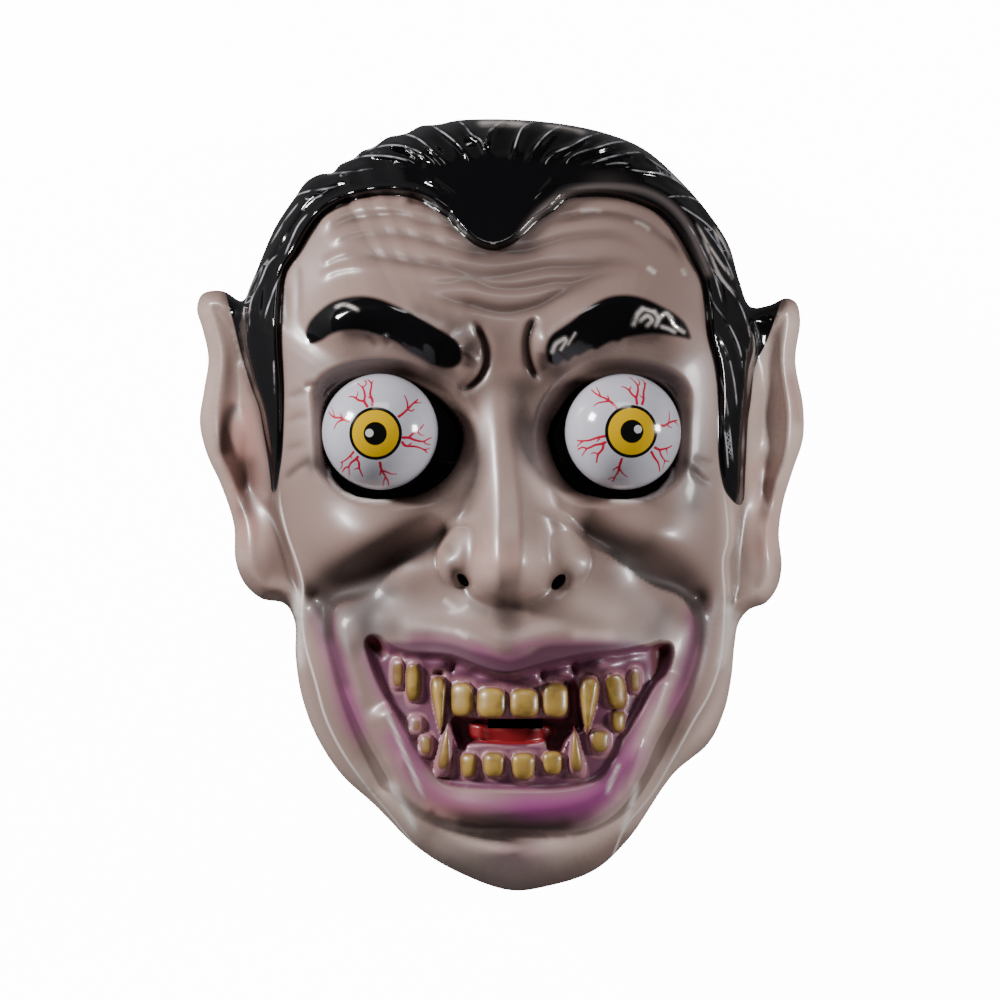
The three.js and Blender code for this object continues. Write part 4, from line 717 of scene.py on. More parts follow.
        Spray([(36.6, -101), (39, -94.5), (41.6, -89)], 0.7, 0.7),
        Spray([(41.6, -116), (44.6, -108), (46.6, -101), (47.8, -95)], 1.0, 0.8),
        Spray([(78.6, -32.2), (79.6, -40.6), (78.4, -51.1), (76.2, -58.4)], 1.8, 0.85),
        Spray([(83, -36), (82.2, -51), (80.8, -61.6)], 1.2, 0.7),
        Spray([(-70.2, -28), (-70.4, -42.7), (-69.8, -60)], 2.0, 0.9),
        Spray([(-59.6, 13.5), (-58.6, 8.7), (-55, 4.5), (-49.9, 2), (-43.4, 1), (-36.3, 1.2)], 0.6, 1, 0.1),
        Spray([(60, 13.5), (59, 8.7), (55.4, 4.5), (50.3, 2), (43.8, 1), (36.6, 1.2)], 0.6, 1, 0.1),
        Spray([(-57.9, 67.7), (-54.4, 69), (-52.2, 68.6), (-48.1, 66.6)], 0.5, 0.8),
        Spray([(46.2, 62.2), (47.6, 65.6), (49.2, 67.4)], 0.7, 0.9, 0),
        Spray([(49.4, 67.6), (53.4, 66.4)], 0.5, 0.9, 0),
        Spray([(48.6, 63.4), (51, 65.2), (52.6, 63.6), (51, 61.8)], 0.6, 0.9, 0),
        Spray([(53.4, 66.6), (54.8, 64), (54, 61.8)], 0.6, 0.85, 0),
        Spray([(55, 64.4), (57.6, 66), (59, 64.6)], 0.6, 0.9, 0),
        Spray([(56, 61.4), (58.4, 60.6), (60.4, 59.6)], 0.55, 0.8, 0),
        Spray([(59.2, 64.4), (60.4, 61.8), (63.6, 59.6)], 0.55, 0.8, 0),
        Spray([(18, 52.6), (19.4, 55.4), (22.4, 57.2)], 0.6, 0.85, 0),
        Spray([(21, 53.4), (23, 56.4)], 0.45, 0.7, 0),
        Spray([(23.4, 55.2), (26, 59)], 0.4, 0.6, 0),
        Spray([(-20, -32.6), (-15, -36.6)], 1.0, 0.45),
        Spray([(-18.9, -37.6), (-13, -36.4), (-10.6, -34.4)], 0.8, 0.45),
        Spray([(-16, -43.2), (-13, -45.2), (-10.8, -46.4)], 0.9, 0.4),
        Spray([(67.9, 98.4), (71.8, 91.4), (77.7, 82.6), (81.9, 77.7)], 0.4, 0.6),
        Spray([(73.9, 97.3), (78.8, 90.3), (81.4, 84)], 0.4, 0.6),
        Spray([(70, 93.5), (73.4, 86), (77, 78.5), (82.4, 72.6)], 0.4, 0.6),
        Spray([(-9, 133.4), (0, 133.6), (11, 132.8)], 1.3, 0.8),
        Spray([(14, 132.4), (24, 131.2), (31, 129.2)], 0.8, 0.4),
        Spray([(27, 101.5), (31.5, 102), (36, 101.5)], 0.7, 0.35),
        Spray([(46, 98.2), (49.5, 97), (52.5, 94.5)], 0.7, 0.35),
        Spray([(50.8, 82.3), (54.3, 79.8)], 0.8, 0.65),
        Spray([(63, 81.9), (64.5, 79)], 0.7, 0.4),
    ],
    # The band along the hairline roll: partly brownish overspray of the skin colour, partly painted
    # reflection of the forehead in the roll
    "roll": [
        Spray([(6.4, 91.4), (9, 95.6), (15, 102.4), (24.3, 108.2), (31.5, 110), (40, 110.3), (50, 108.9),
                (57.9, 105), (64.2, 98.6), (68.2, 90.8), (71.4, 82.8), (73, 77.8)], 1.3, 0.85, 0.06),
    ],
}
# Each vein of an eye: its points seen from the front, from the ball's middle, and its width
LEFT_VEINS: list[tuple[list[Point], float]] = [
    ([(-4.3, 8.7), (-5.3, 10.5), (-5.1, 12.5), (-5.9, 15.2), (-6.8, 16), (-7.9, 16.8)], 0.85),
    ([(-5.9, 15.2), (-5, 16), (-4.7, 17), (-5.4, 18)], 0.7),
    ([(-5.3, 10.5), (-7.2, 10.8), (-8.3, 11.6), (-9.5, 12.1), (-10.7, 12)], 0.85),
    ([(-8.3, 11.6), (-7.6, 12.9), (-7.7, 13.9)], 0.6),
    ([(-2.5, 9.1), (-2.5, 10.7), (-3.3, 12.9), (-3, 15), (-2.9, 16.6), (-3.4, 17.3), (-4.2, 18)], 0.85),
    ([(-2.9, 16.6), (-2.2, 17.7)], 0.6), ([(-2.5, 11.2), (-3.2, 11.6), (-4.1, 12)], 0.6),
    ([(-10.6, 3.6), (-12.2, 4.1), (-13.6, 4.8), (-15.6, 4.9), (-17, 5.9), (-17.7, 7)], 0.85),
    ([(-15.6, 4.9), (-16, 6.6), (-16.9, 8.6)], 0.6), ([(-12.7, 4.3), (-13.1, 5.4), (-13.8, 6.4)], 0.6),
    ([(-12.7, 4.1), (-14.3, 3.4), (-15.2, 2.3), (-15.8, 0.9)], 0.7),
    ([(-9, -7), (-10.2, -8.4), (-11.8, -9.8), (-13.6, -10.7)], 0.7),
    ([(-13, -10.5), (-13.1, -11.8), (-13.7, -13)], 0.6), ([(-10.2, -8.4), (-9.5, -9.3)], 0.6),
    ([(-7.5, -8.7), (-8.6, -9.8), (-9.9, -10.7), (-10.7, -12), (-12, -12.5), (-13, -13.9)], 0.85),
    ([(-10.7, -12), (-10.6, -13.6), (-10.6, -15.7)], 0.6),
    ([(-8.1, -9.3), (-7.2, -10.7), (-7.1, -12.5), (-6.5, -14.1), (-5.9, -15.4)], 0.85),
    ([(-7.1, -12.5), (-8.1, -12.8), (-9, -13.1)], 0.6),
    ([(0.1, -10.7), (0.3, -12.1), (0.7, -13.4), (1.9, -15.4), (2.8, -17.1), (3, -18.7)], 0.85),
    ([(1.9, -15.7), (1.3, -17.3), (1, -19.1)], 0.6),
    ([(0.7, -13.4), (2.3, -13.9), (3.9, -14.6), (5.9, -14.6)], 0.7), ([(0.5, -13.4), (0, -15)], 0.6),
    ([(8, -2.1), (10, -2.1), (12.1, -2.9), (15, -3.4), (16.4, -2.7), (17.8, -2)], 0.85),
    ([(15, -3.4), (16, -4.2), (17.5, -4.5)], 0.6),
    ([(10.1, -2.1), (11.4, -0.7), (13, 0), (14.1, 1.1), (15.2, 2.5)], 0.85),
    ([(13, 0), (13.9, -0.9), (15.3, -1.4)], 0.6),
    ([(7.8, -3.7), (8.7, -4.8), (10, -5), (12.5, -5.2), (15, -6.1), (16.4, -7.3)], 0.85),
    ([(15, -6.1), (16.2, -6.1), (17.3, -5.6)], 0.6), ([(10, -4.9), (10.5, -4.3), (11.1, -3.9)], 0.6),
    ([(6.6, 5.2), (8, 6.2), (9.6, 7.7), (11.4, 9.6), (13.2, 11.2)], 0.85),
    ([(9.6, 7.7), (9.6, 9.3), (9.2, 11.1), (8.5, 12.5)], 0.7), ([(9.6, 7.7), (10.9, 7.1), (12, 7.8)], 0.6),
    ([(11.6, 9.8), (13.2, 10), (14.6, 9.9)], 0.6),
]
RIGHT_VEINS: list[tuple[list[Point], float]] = [
    ([(4.7, 9.6), (4.5, 11.6), (5, 13.6), (5, 15.7), (4, 17.3), (2.1, 18.9)], 0.85),
    ([(5, 15.7), (5.7, 16.8), (5, 18.5)], 0.6),
    ([(4.5, 11.6), (2.9, 13), (2, 14.3), (0.7, 15.2), (-0.5, 15.6)], 0.85), ([(2.1, 14.3), (2.8, 15.7)], 0.6),
    ([(6.5, 9.5), (7, 11.1), (7, 13.6), (7.5, 16.2), (6.8, 17.7), (5.9, 18.2)], 0.85),
    ([(7.5, 16), (7.9, 16.8)], 0.6), ([(6.8, 11.6), (5.7, 12.5)], 0.6),
    ([(-2.3, 8.2), (-3.5, 9.6), (-5, 10.7), (-6.4, 11.6), (-7.8, 12.1), (-9.6, 13.2), (-11, 14.5)], 0.85),
    ([(-7.8, 12), (-8.4, 13.7), (-9.3, 15.5)], 0.6), ([(-5, 10.7), (-5.1, 11.6), (-5.5, 12.4)], 0.6),
    ([(-5.1, 10.5), (-7.1, 10.2), (-8.9, 9.8), (-10.2, 8.7)], 0.7),
    ([(-6.4, -1.6), (-8.2, -1.9), (-9.6, -2.3), (-11.7, -3), (-13.9, -3.2), (-15.9, -3.1)], 0.85),
    ([(-13.9, -3.3), (-15, -4.1), (-16, -5.2)], 0.6), ([(-8, -1.9), (-8.5, -2.7), (-9.1, -3.4)], 0.6),
    ([(-6.2, -3.7), (-7.8, -4.3), (-9.6, -4.6), (-12.5, -5.8), (-13.9, -5.4), (-15.7, -6.1)], 0.85),
    ([(-12.5, -5.8), (-13.4, -7), (-14.3, -8.5)], 0.6),
    ([(-6.9, -4.3), (-7.1, -5.9), (-8.7, -7.9), (-9.1, -9.5), (-9.2, -10.7)], 0.85),
    ([(-8.7, -7.9), (-9.8, -7.3), (-11.2, -7.6)], 0.6),
    ([(-0.5, -9.5), (-1.2, -11.4), (-1.6, -13.4), (-2.8, -15.7), (-3.7, -17.1)], 0.85),
    ([(-1.6, -12.1), (-2.8, -12.7), (-3.7, -13.4)], 0.6), ([(-1.4, -12.5), (-0.5, -14.1), (1.3, -15.7)], 0.6),
    ([(-3, -15.7), (-4.2, -15.9), (-5.3, -16.6)], 0.6),
    ([(10.9, -5.5), (12.5, -6.2), (14.7, -5.8), (15.7, -5.5), (16.9, -4.8)], 0.85),
    ([(14.9, -5.9), (15.1, -7), (15.2, -8)], 0.6),
    ([(12.5, -6.4), (13.1, -8.2), (14.5, -10), (16.1, -10.2)], 0.7),
    ([(14.3, -10), (14, -11.8), (13.4, -13.2)], 0.6),
    ([(9.7, -7), (10.6, -8.7), (12, -10.7), (12.5, -12.5), (12.7, -13.9)], 0.85),
    ([(12.7, 2.1), (14.3, 2.1), (15.7, 3), (17.5, 3.7), (18.8, 3.9)], 0.85),
    ([(15.7, 2.9), (15.9, 5), (15.9, 7)], 0.6), ([(15.2, 2.3), (16.1, 1.6), (16.7, 1.4)], 0.6),
    ([(17.5, 3.6), (18.6, 2.7), (19.3, 1.7)], 0.6),
]


@dataclass
class MaskRelief:
    """The front surface of the moulding as a height above the rim, in millimetres."""

    dome_height: float = 72.0
    dome_centre: Point = (1.75, 1.4)
    dome_pad: float = 4.0
    dome_power: float = 3.0
    top_power_loss: float = 0.7
    chin_power_gain: float = 1.5
    shoulder: float = 5.0
    shoulder_share: float = 0.38
    ear_height: float = 16.0
    ear_tip: float = 106.0
    ear_slope: float = 0.5
    ear_roll: tuple[float, float, float] = (2.2, 4.5, 3.2)
    hair_step: float = 4.2
    hair_rolls: tuple[tuple[float, float, float], ...] = ((0.7, 2.3, 0.9), (-0.25, 4.7, 1.3), (0.6, 7.2, 0.9))
    lock_depth: float = 1.1
    lock_pitch: float = 4.2
    wave_depth: float = 0.14
    comb_centre: Point = (1.0, 36.0)
    comb_reach: float = 66.0
    plate_height: float = 50.0
    lip_height: float = 84.0
    gum_drops: Point = (2.2, 6.5)
    pocket_drop: float = 1.6
    recess_drop: float = 9.0
    tongue_drop: float = 8.5
    tongue_groove: float = 2.2
    tooth_lift: float = 3.8
    brow_lift: float = 0.25
    borders: dict[str, list[Area]] = field(init=False)
    radii: Array = field(init=False)

    def __post_init__(self) -> None:
        """Rounds every border once and measures the head's radius in each direction."""
        pairs = {"brow": (LEFT_BROW, RIGHT_BROW), "socket": (SOCKET, right_eye(SOCKET)),
                 "ring": (BROWN_RING, right_eye(BROWN_RING)), "pocket": (POCKETS_LEFT, POCKETS_RIGHT),
                 "hair": (HAIR,), "muzzle": (MUZZLE,), "mouth": (MOUTH,), "band": (LIP_BAND,),
                 "recess": (RECESS,), "tongue": (TONGUE,)}
        self.borders = {name: [Area(points) for points in both] for name, both in pairs.items()}
        for name, points in (("outline", OUTLINE), ("head", HEAD), ("front", FRONT)):
            self.borders[name] = [Area(points, reach=60.0)]
        self.radii = self._head_radii()

    def inside(self, name: str, x: Array, y: Array) -> Array:
        """Distance in from the nearest border of that name, positive inside."""
        return np.max([area.inside(x, y) for area in self.borders[name]], axis=0)

    def _head_radii(self) -> Array:
        """Measures how far the head's outline lies from the dome's centre.

        Returns:
            The distance at each whole degree, from 0 to 360.
        """
        angle = np.radians(np.arange(361))
        low, high = np.full(361, 40.0), np.full(361, 160.0)
        for _ in range(14):
            middle = (low + high) / 2
            x = self.dome_centre[0] + middle * np.cos(angle)
            y = self.dome_centre[1] + middle * np.sin(angle)
            within = self.inside("head", x, y) > 0
            low, high = np.where(within, middle, low), np.where(within, high, middle)
        return low

    def dome(self, x: Array, y: Array) -> Array:
        """Works out the plain rounded head without any feature.

        Args:
            x, y: The places.

        Returns:
            Its height at each place.
        """
        dx, dy = x - self.dome_centre[0], y - self.dome_centre[1]
        angle = np.degrees(np.arctan2(dy, dx)) % 360
        radius = np.interp(angle, np.arange(361), self.radii) + self.dome_pad
        share = np.hypot(dx, dy) / radius
        up = np.sin(np.radians(angle))
        change = np.where(up > 0, -self.top_power_loss * up * up, self.chin_power_gain * up * up)
        return self.dome_height * np.sqrt(np.maximum(0, 1 - share ** (self.dome_power + change)))

    def ear(self, x: Array, y: Array, edge: Array) -> Array:
        """Works out the plate-like ears with a rolled edge, bowls and a lobe.

        Args:
            x, y: The places.
            edge: Distance in from the outline.

        Returns:
            Their height at each place.
        """
        roll, inset, width = self.ear_roll
        z = self.ear_height + self.ear_slope * (self.ear_tip - np.abs(x)) + roll * bell(edge - inset, width)
        for mound in EAR_MOUNDS:
            z = z + mound.height(x, y)
        return z

    def comb(self, x: Array, y: Array) -> Array:
        """Numbers the combed locks, steady along each strand.

        Args:
            x, y: The places.

        Returns:
            The lock at each place, one whole number further for each lock and negative on the left.
        """
        dx, dy = x - self.comb_centre[0], y - self.comb_centre[1]
        away = np.maximum(np.hypot(dx, dy), 30)
        around = np.abs(np.arctan2(dx, dy)) * (self.comb_reach / away) ** 1.5
        turn = around * self.comb_reach / self.lock_pitch
        return np.sign(dx) * (turn + 0.22 * np.sin(turn * 1.7 + 1.3 * (dx > 0)) + 0.5)

    @staticmethod
    def strands(x: Array, y: Array) -> tuple[Array, Array, Array]:
        """Measures the drawn hair lines, each a step that is steep on one side and soft on the other.

        Args:
            x, y: The places.

        Returns:
            Their relief, the signed distance to the nearest line and the plain distance to it, which grows
            where the line fades.
        """
        steep, soft, fade_gap = 0.6, 1.5, 1.6
        edges, signed, plain = np.zeros(x.shape), np.full(x.shape, FAR), np.full(x.shape, FAR)
        for line in HAIR_LINES:
            path = smooth_path(line.points, False, LINE_STEPS)
            distance, along = path_distance(path, x, y, False, 6.0)
            k = np.clip((along * (len(path) - 1)).astype(int), 0, len(path) - 2)
            run = path[k + 1] - path[k]
            side = np.sign(run[:, 0] * (y - path[k, 1]) - run[:, 1] * (x - path[k, 0]))
            ends = np.clip(np.minimum(along, 1 - along) / line.fade, 0, 1)
            step = np.where(side > 0, bell(distance, line.width * soft), bell(distance, line.width * steep))
            edges += line.size * step * np.sqrt(ends)
            apart = distance + fade_gap * (1 - ends)
            signed = np.where(apart < plain, side * distance, signed)
            plain = np.minimum(plain, apart)
        return edges, signed, plain

    def locks(self, x: Array, y: Array, hair: Array, edge: Array) -> tuple[Array, Array, Array]:
        """Relief of the combed locks behind the two rolls along the hairline.

        Args:
            x, y: The places.
            hair: Distance in from the hairline.
            edge: Distance in from the outline.

        Returns:
            The relief, the signed distance to the nearest lock's edge and the plain distance to it.
        """
        near = hair > -1
        px, py, deep = x[near], y[near], hair[near]
        edges, signed, plain = self.strands(px, py)
        shelf = edge[near] - 8 * ramp(35, 55, px)
        waves = self.wave_depth * np.sin(np.abs(self.comb(px, py)) * math.tau)
        body = (waves + self.lock_depth * edges) * mix(0.05, 1.0, ramp(18, 7, shelf))
        body = body * mix(ramp(1.5, 4, deep), ramp(7, 15, deep), ramp(40, 75, py) * (py > 40))
        rolls = sum(size * bell(deep - inset, width) for size, inset, width in self.hair_rolls)
        rolls = rolls * ramp(56, 74, py) * np.maximum(ramp(8, 20, np.abs(px + 0.5)), ramp(105, 113, py))
        plain = plain + 1.8 * ramp(7, 15, shelf) * (py > 50) + 0.5 * ramp(70, 62, py) * (px < 0)
        out = (np.zeros(x.shape), np.full(x.shape, FAR), np.full(x.shape, FAR))
        for whole, part in zip(out, (body + rolls, signed, plain)):
            whole[near] = part
        return out

    def nose(self, x: Array, y: Array, base: Array) -> Array:
        """Lays the broad flat-fronted bridge, the tip and both wings over what is there.

        Args:
            x, y: The places.
            base: Height without the nose.

        Returns:
            Height with the nose.
        """
        line = smooth_path(NOSE_LINE, False, 8)
        ridge = np.interp(y, line[:, 0], line[:, 1])
        middle = mix(3.4, 0.4, ramp(-6, 40, y))
        flat = mix(3.0, 0.5, np.maximum(ramp(-20, 42, y), ramp(-24, -38, y)))
        out = np.maximum(np.abs(x - middle) - flat, 0)
        rise = mix(1.5, 0.95, ramp(-22, 24, y))
        bend = mix(20.0, 90.0, ramp(-22, -36, y))
        side = np.sqrt(out * out + bend) - np.sqrt(bend)
        bridge = np.where((y < 60) & (y > -44), ridge - rise * side - 0.02 * (x - middle) ** 2, -50)
        z = soft_max(base, bridge, 5)
        for cx, cy, rx, ry, seat in NOSE_WINGS:
            inside = 1 - ((x - cx) / rx) ** 2 - ((y - cy) / ry) ** 2
            ball = seat + 8 * np.sign(inside) * np.sqrt(np.abs(inside))
            z = np.where(inside > -1.2, soft_max(z, ball, 4.2), z)
        for cx, cy, rx, ry, turn in NOSTRILS:
            z = z + Mound(cx, cy, rx * 1.4, ry * 1.8, -3.5, turn).height(x, y)
        return z

    def lip_top(self, x: Array, y: Array) -> Array:
        """Works out the mass round the mouth, which falls back to both sides and to the chin.

        Args:
            x, y: The places.

        Returns:
            Its height at each place.
        """
        away = (x - 5) / 60
        side = np.where(x < 5, 9 * away ** 2 + 12 * (1 - bell(x - 5, 29)), 21 * away ** 2)
        z = self.lip_height - side - 5 * np.clip((-70 - y) / 40, 0, 1) ** 2
        return z - 5 * ramp(-54, -26, y)

    def tooth_field(self, x: Array, y: Array) -> tuple[Array, Array, Array]:
        """Works out the teeth.

        Args:
            x, y: The places.

        Returns:
            Their lift above the gum, the painted enamel in millimetres, and the nearest tooth's body.
        """
        lift, paint, body = np.zeros(x.shape), np.full(x.shape, -3.0), np.full(x.shape, -3.0)
        near = (x > -42) & (x < 54) & (y < -50) & (y > -100)
        px, py = x[near], y[near]
        rise, enamel, share = lift[near], paint[near], body[near]
        for tooth in TEETH:
            part = np.maximum(tooth.body(px, py), -3)
            rise = np.maximum(rise, self.tooth_lift * tooth.lift * np.clip(part, 0, 1) ** 0.5)
            enamel = np.maximum(enamel, part * min(tooth.width, tooth.height) / 6 + 0.45 - tooth.inset)
            share = np.maximum(share, part)
        lift[near], paint[near], body[near] = rise, enamel, share
        return lift, paint, body

    def mouth_inside(self, x: Array, y: Array, near: dict[str, Array], lift: Array) -> Array:
        """Works out the gums, teeth, tongue and the dark recess behind the lips.

        Args:
            x, y: The places.
            near: Distance in from each border.
            lift: Lift of the teeth.

        Returns:
            Height from the top of the lips, mostly below it.
        """
        drop = mix(*self.gum_drops, ramp(-92, -64, y)) * (1 - 0.45 * ramp(18, 36, np.abs(x - 4)))
        drop = drop - sum(m.height(x, y) for m in GUM_MOUNDS)
        drop = drop + self.pocket_drop * ramp(-1.6, 2.2, near["pocket"])
        low = mix(drop, self.recess_drop, ramp(-0.6, 1.2, near["recess"]))
        tongue = self.tongue_drop - self.tongue_groove * bell(np.abs(x - 4) - 11, 3)
        low = mix(low, tongue, ramp(-0.4, 1.4, near["tongue"]))
        return self.lip_top(x, y) - np.where(lift > 0, mix(low, drop, ramp(0, 1.6, lift)), low) + lift

    def sample(self, x: Array, y: Array) -> dict[str, Array]:
        """Heights and painted areas at many places.

        Args:
            x, y: The places.

        Returns:
            The height under "z", and one array for each painted area, positive inside.
        """
        near = {name: self.inside(name, x, y) for name in self.borders}
        edge, front = near.pop("outline"), near["front"]
        broad = sum(c.shape(x, y)[0] for c in BROW_SWELLS)
        z = self.dome(x, y) + (sum(m.height(x, y) for m in MOUNDS) + broad) * ramp(0, 14, near.pop("head"))
        z = z + ramp(14, -6, y) * (0.9 * bell(front - 0.6, 1.3) - 4.5 * ramp(0.6, -3.2, front))
        z = mix(z, soft_max(z, self.lip_top(x, y), 4), ramp(-3.4, 1.2, near.pop("muzzle")))
        shapes = [c.shape(x, y) for c in CREASES]
        z = self.nose(x, y, z) + sum(h for h, _ in shapes) * ramp(0, 6, edge)
        lift, tooth, body = self.tooth_field(x, y)
        z = mix(z, self.mouth_inside(x, y, near, lift), ramp(-0.8, 2.6, near["mouth"]))
        z = z + self.brow_lift * ramp(-1.0, 2.4, near["brow"])
        z = z - np.maximum(z - self.plate_height, 0) * 0.5 * ramp(-1.5, 4.5, near["ring"])
        z = mix(z, self.plate_height, ramp(-0.8, 1.8, near["socket"]))
        tilt = 1 + 1.2 * ramp(0.7, 1.0, np.hypot(x - self.dome_centre[0], y - self.dome_centre[1]) / 130)
        strands, lock, lock_near = self.locks(x, y, near["hair"], edge)
        z = z + ramp(-0.7, 1.5, near["hair"]) * (self.hair_step * ramp(-30, 60, y) + strands * tilt)
        aside = (np.abs(x) > 66) & (y < 78) & (y > -40)
        z = np.where(aside, soft_max(z, self.ear(x, y, edge), 3), z)
        round_off = np.sqrt(1 - (1 - np.clip(edge / self.shoulder, 0, 1)) ** 2)
        # Painted shade sprayed into the creases, darkest in their grooves
        crease_shade = 1 - np.prod([1 - np.clip(t, 0, 1) for _, t in shapes], axis=0)
        return near | {"z": z * mix(self.shoulder_share, 1.0, round_off), "tooth": tooth, "halo": body,
                       "crease_shade": crease_shade, "lock": lock, "lock_near": lock_near}


def boundary_offset(path: Array, amount: float, area: Area | None = None) -> Array:
    """Moves a closed path inward by the given amount.

    Args:
        path: The closed path, millimetres.
        amount: How far inward.
        area: Drops the points that end up nearer to this border than they should.

    Returns:
        The moved points, in the same order.
    """
    run = np.roll(path, -1, axis=0) - np.roll(path, 1, axis=0)
    run /= np.maximum(np.hypot(*run.T), 1e-9)[:, None]
    x, y = path.T
    nx, ny = np.roll(x, -1), np.roll(y, -1)
    turn = np.sign(np.sum(x * ny - nx * y))
    moved = path + amount * turn * np.column_stack([-run[:, 1], run[:, 0]])
    if area is not None:
        moved = moved[area.inside(moved[:, 0], moved[:, 1]) > amount * 0.8]
    return moved


def hex_points(low: Point, high: Point, spacing: float) -> Array:
    """Lays an even triangular pattern of points over a box.

    Args:
        low, high: Corners of the box.
        spacing: Distance between neighbours.

    Returns:
        Array of points, two columns.
    """
    rows = np.arange(low[1], high[1], spacing * math.sqrt(3) / 2)
    columns = np.arange(low[0], high[0], spacing)
    x, y = np.meshgrid(columns, rows)
    x = x + (np.arange(len(rows)) % 2)[:, None] * spacing / 2
    return np.column_stack([x.ravel(), y.ravel()])


@dataclass
class Sheet:
    """A flat triangulated sheet: points, triangles facing up, and the point numbers of each border."""

    points: Array
    faces: Array
    rings: list[Array]


def triangulate(loops: Sequence[Array], points: Array) -> Sheet:
    """Delaunay triangles inside the first loop and outside the others.

    Args:
        loops: The border first, then the holes; each is a closed run of points.
        points: Free points between them.

    Returns:
        The sheet, with one ring for each loop.
    """
    vertices = np.vstack([*loops, points])
    edges, starts, start = [], [], 0
    for loop in loops:
        n = len(loop)
        edges += [(start + k, start + (k + 1) % n) for k in range(n)]
        starts.append(start)
        start += n
    result = delaunay_2d_cdt([Vector(p) for p in vertices.tolist()], edges, [], 1, 1e-5)
    out = np.array([tuple(v) for v in result[0]])
    faces = np.array(result[2])
    middle = out[faces].mean(axis=1)
    keep = np.ones(len(faces), bool)
    for loop in loops[1:]:
        keep &= path_distance(loop, middle[:, 0], middle[:, 1], True, 2.0)[0] > 0
    keep &= path_distance(loops[0], middle[:, 0], middle[:, 1], True, 2.0)[0] < 0
    faces = faces[keep]
    a, b, c = (out[faces[:, k]] for k in range(3))
    area = (b[:, 0] - a[:, 0]) * (c[:, 1] - a[:, 1]) - (b[:, 1] - a[:, 1]) * (c[:, 0] - a[:, 0])
    faces[area < 0] = faces[area < 0][:, ::-1]
    came_from = {old: new for new, olds in enumerate(result[3]) for old in olds}
    rings = [np.array([came_from[s + k] for k in range(len(loop))]) for s, loop in zip(starts, loops)]
    return Sheet(out, faces, rings)


@dataclass
class Grid:
    """Values on even rows and columns, read between them."""

    values: Array
    low: Point
    cell: float

    def at(self, x: Array, y: Array) -> Array:
        """Reads the grid, blended between its four nearest values.

        Args:
            x, y: The places.

        Returns:
            The value at each place.
        """
        rows, columns = self.values.shape
        u = np.clip((x - self.low[0]) / self.cell, 0, columns - 1.001)
        v = np.clip((y - self.low[1]) / self.cell, 0, rows - 1.001)
        i, j = u.astype(int), v.astype(int)
        fu, fv = u - i, v - j
        top = self.values[j, i] * (1 - fu) + self.values[j, i + 1] * fu
        bottom = self.values[j + 1, i] * (1 - fu) + self.values[j + 1, i + 1] * fu
        return top * (1 - fv) + bottom * fv


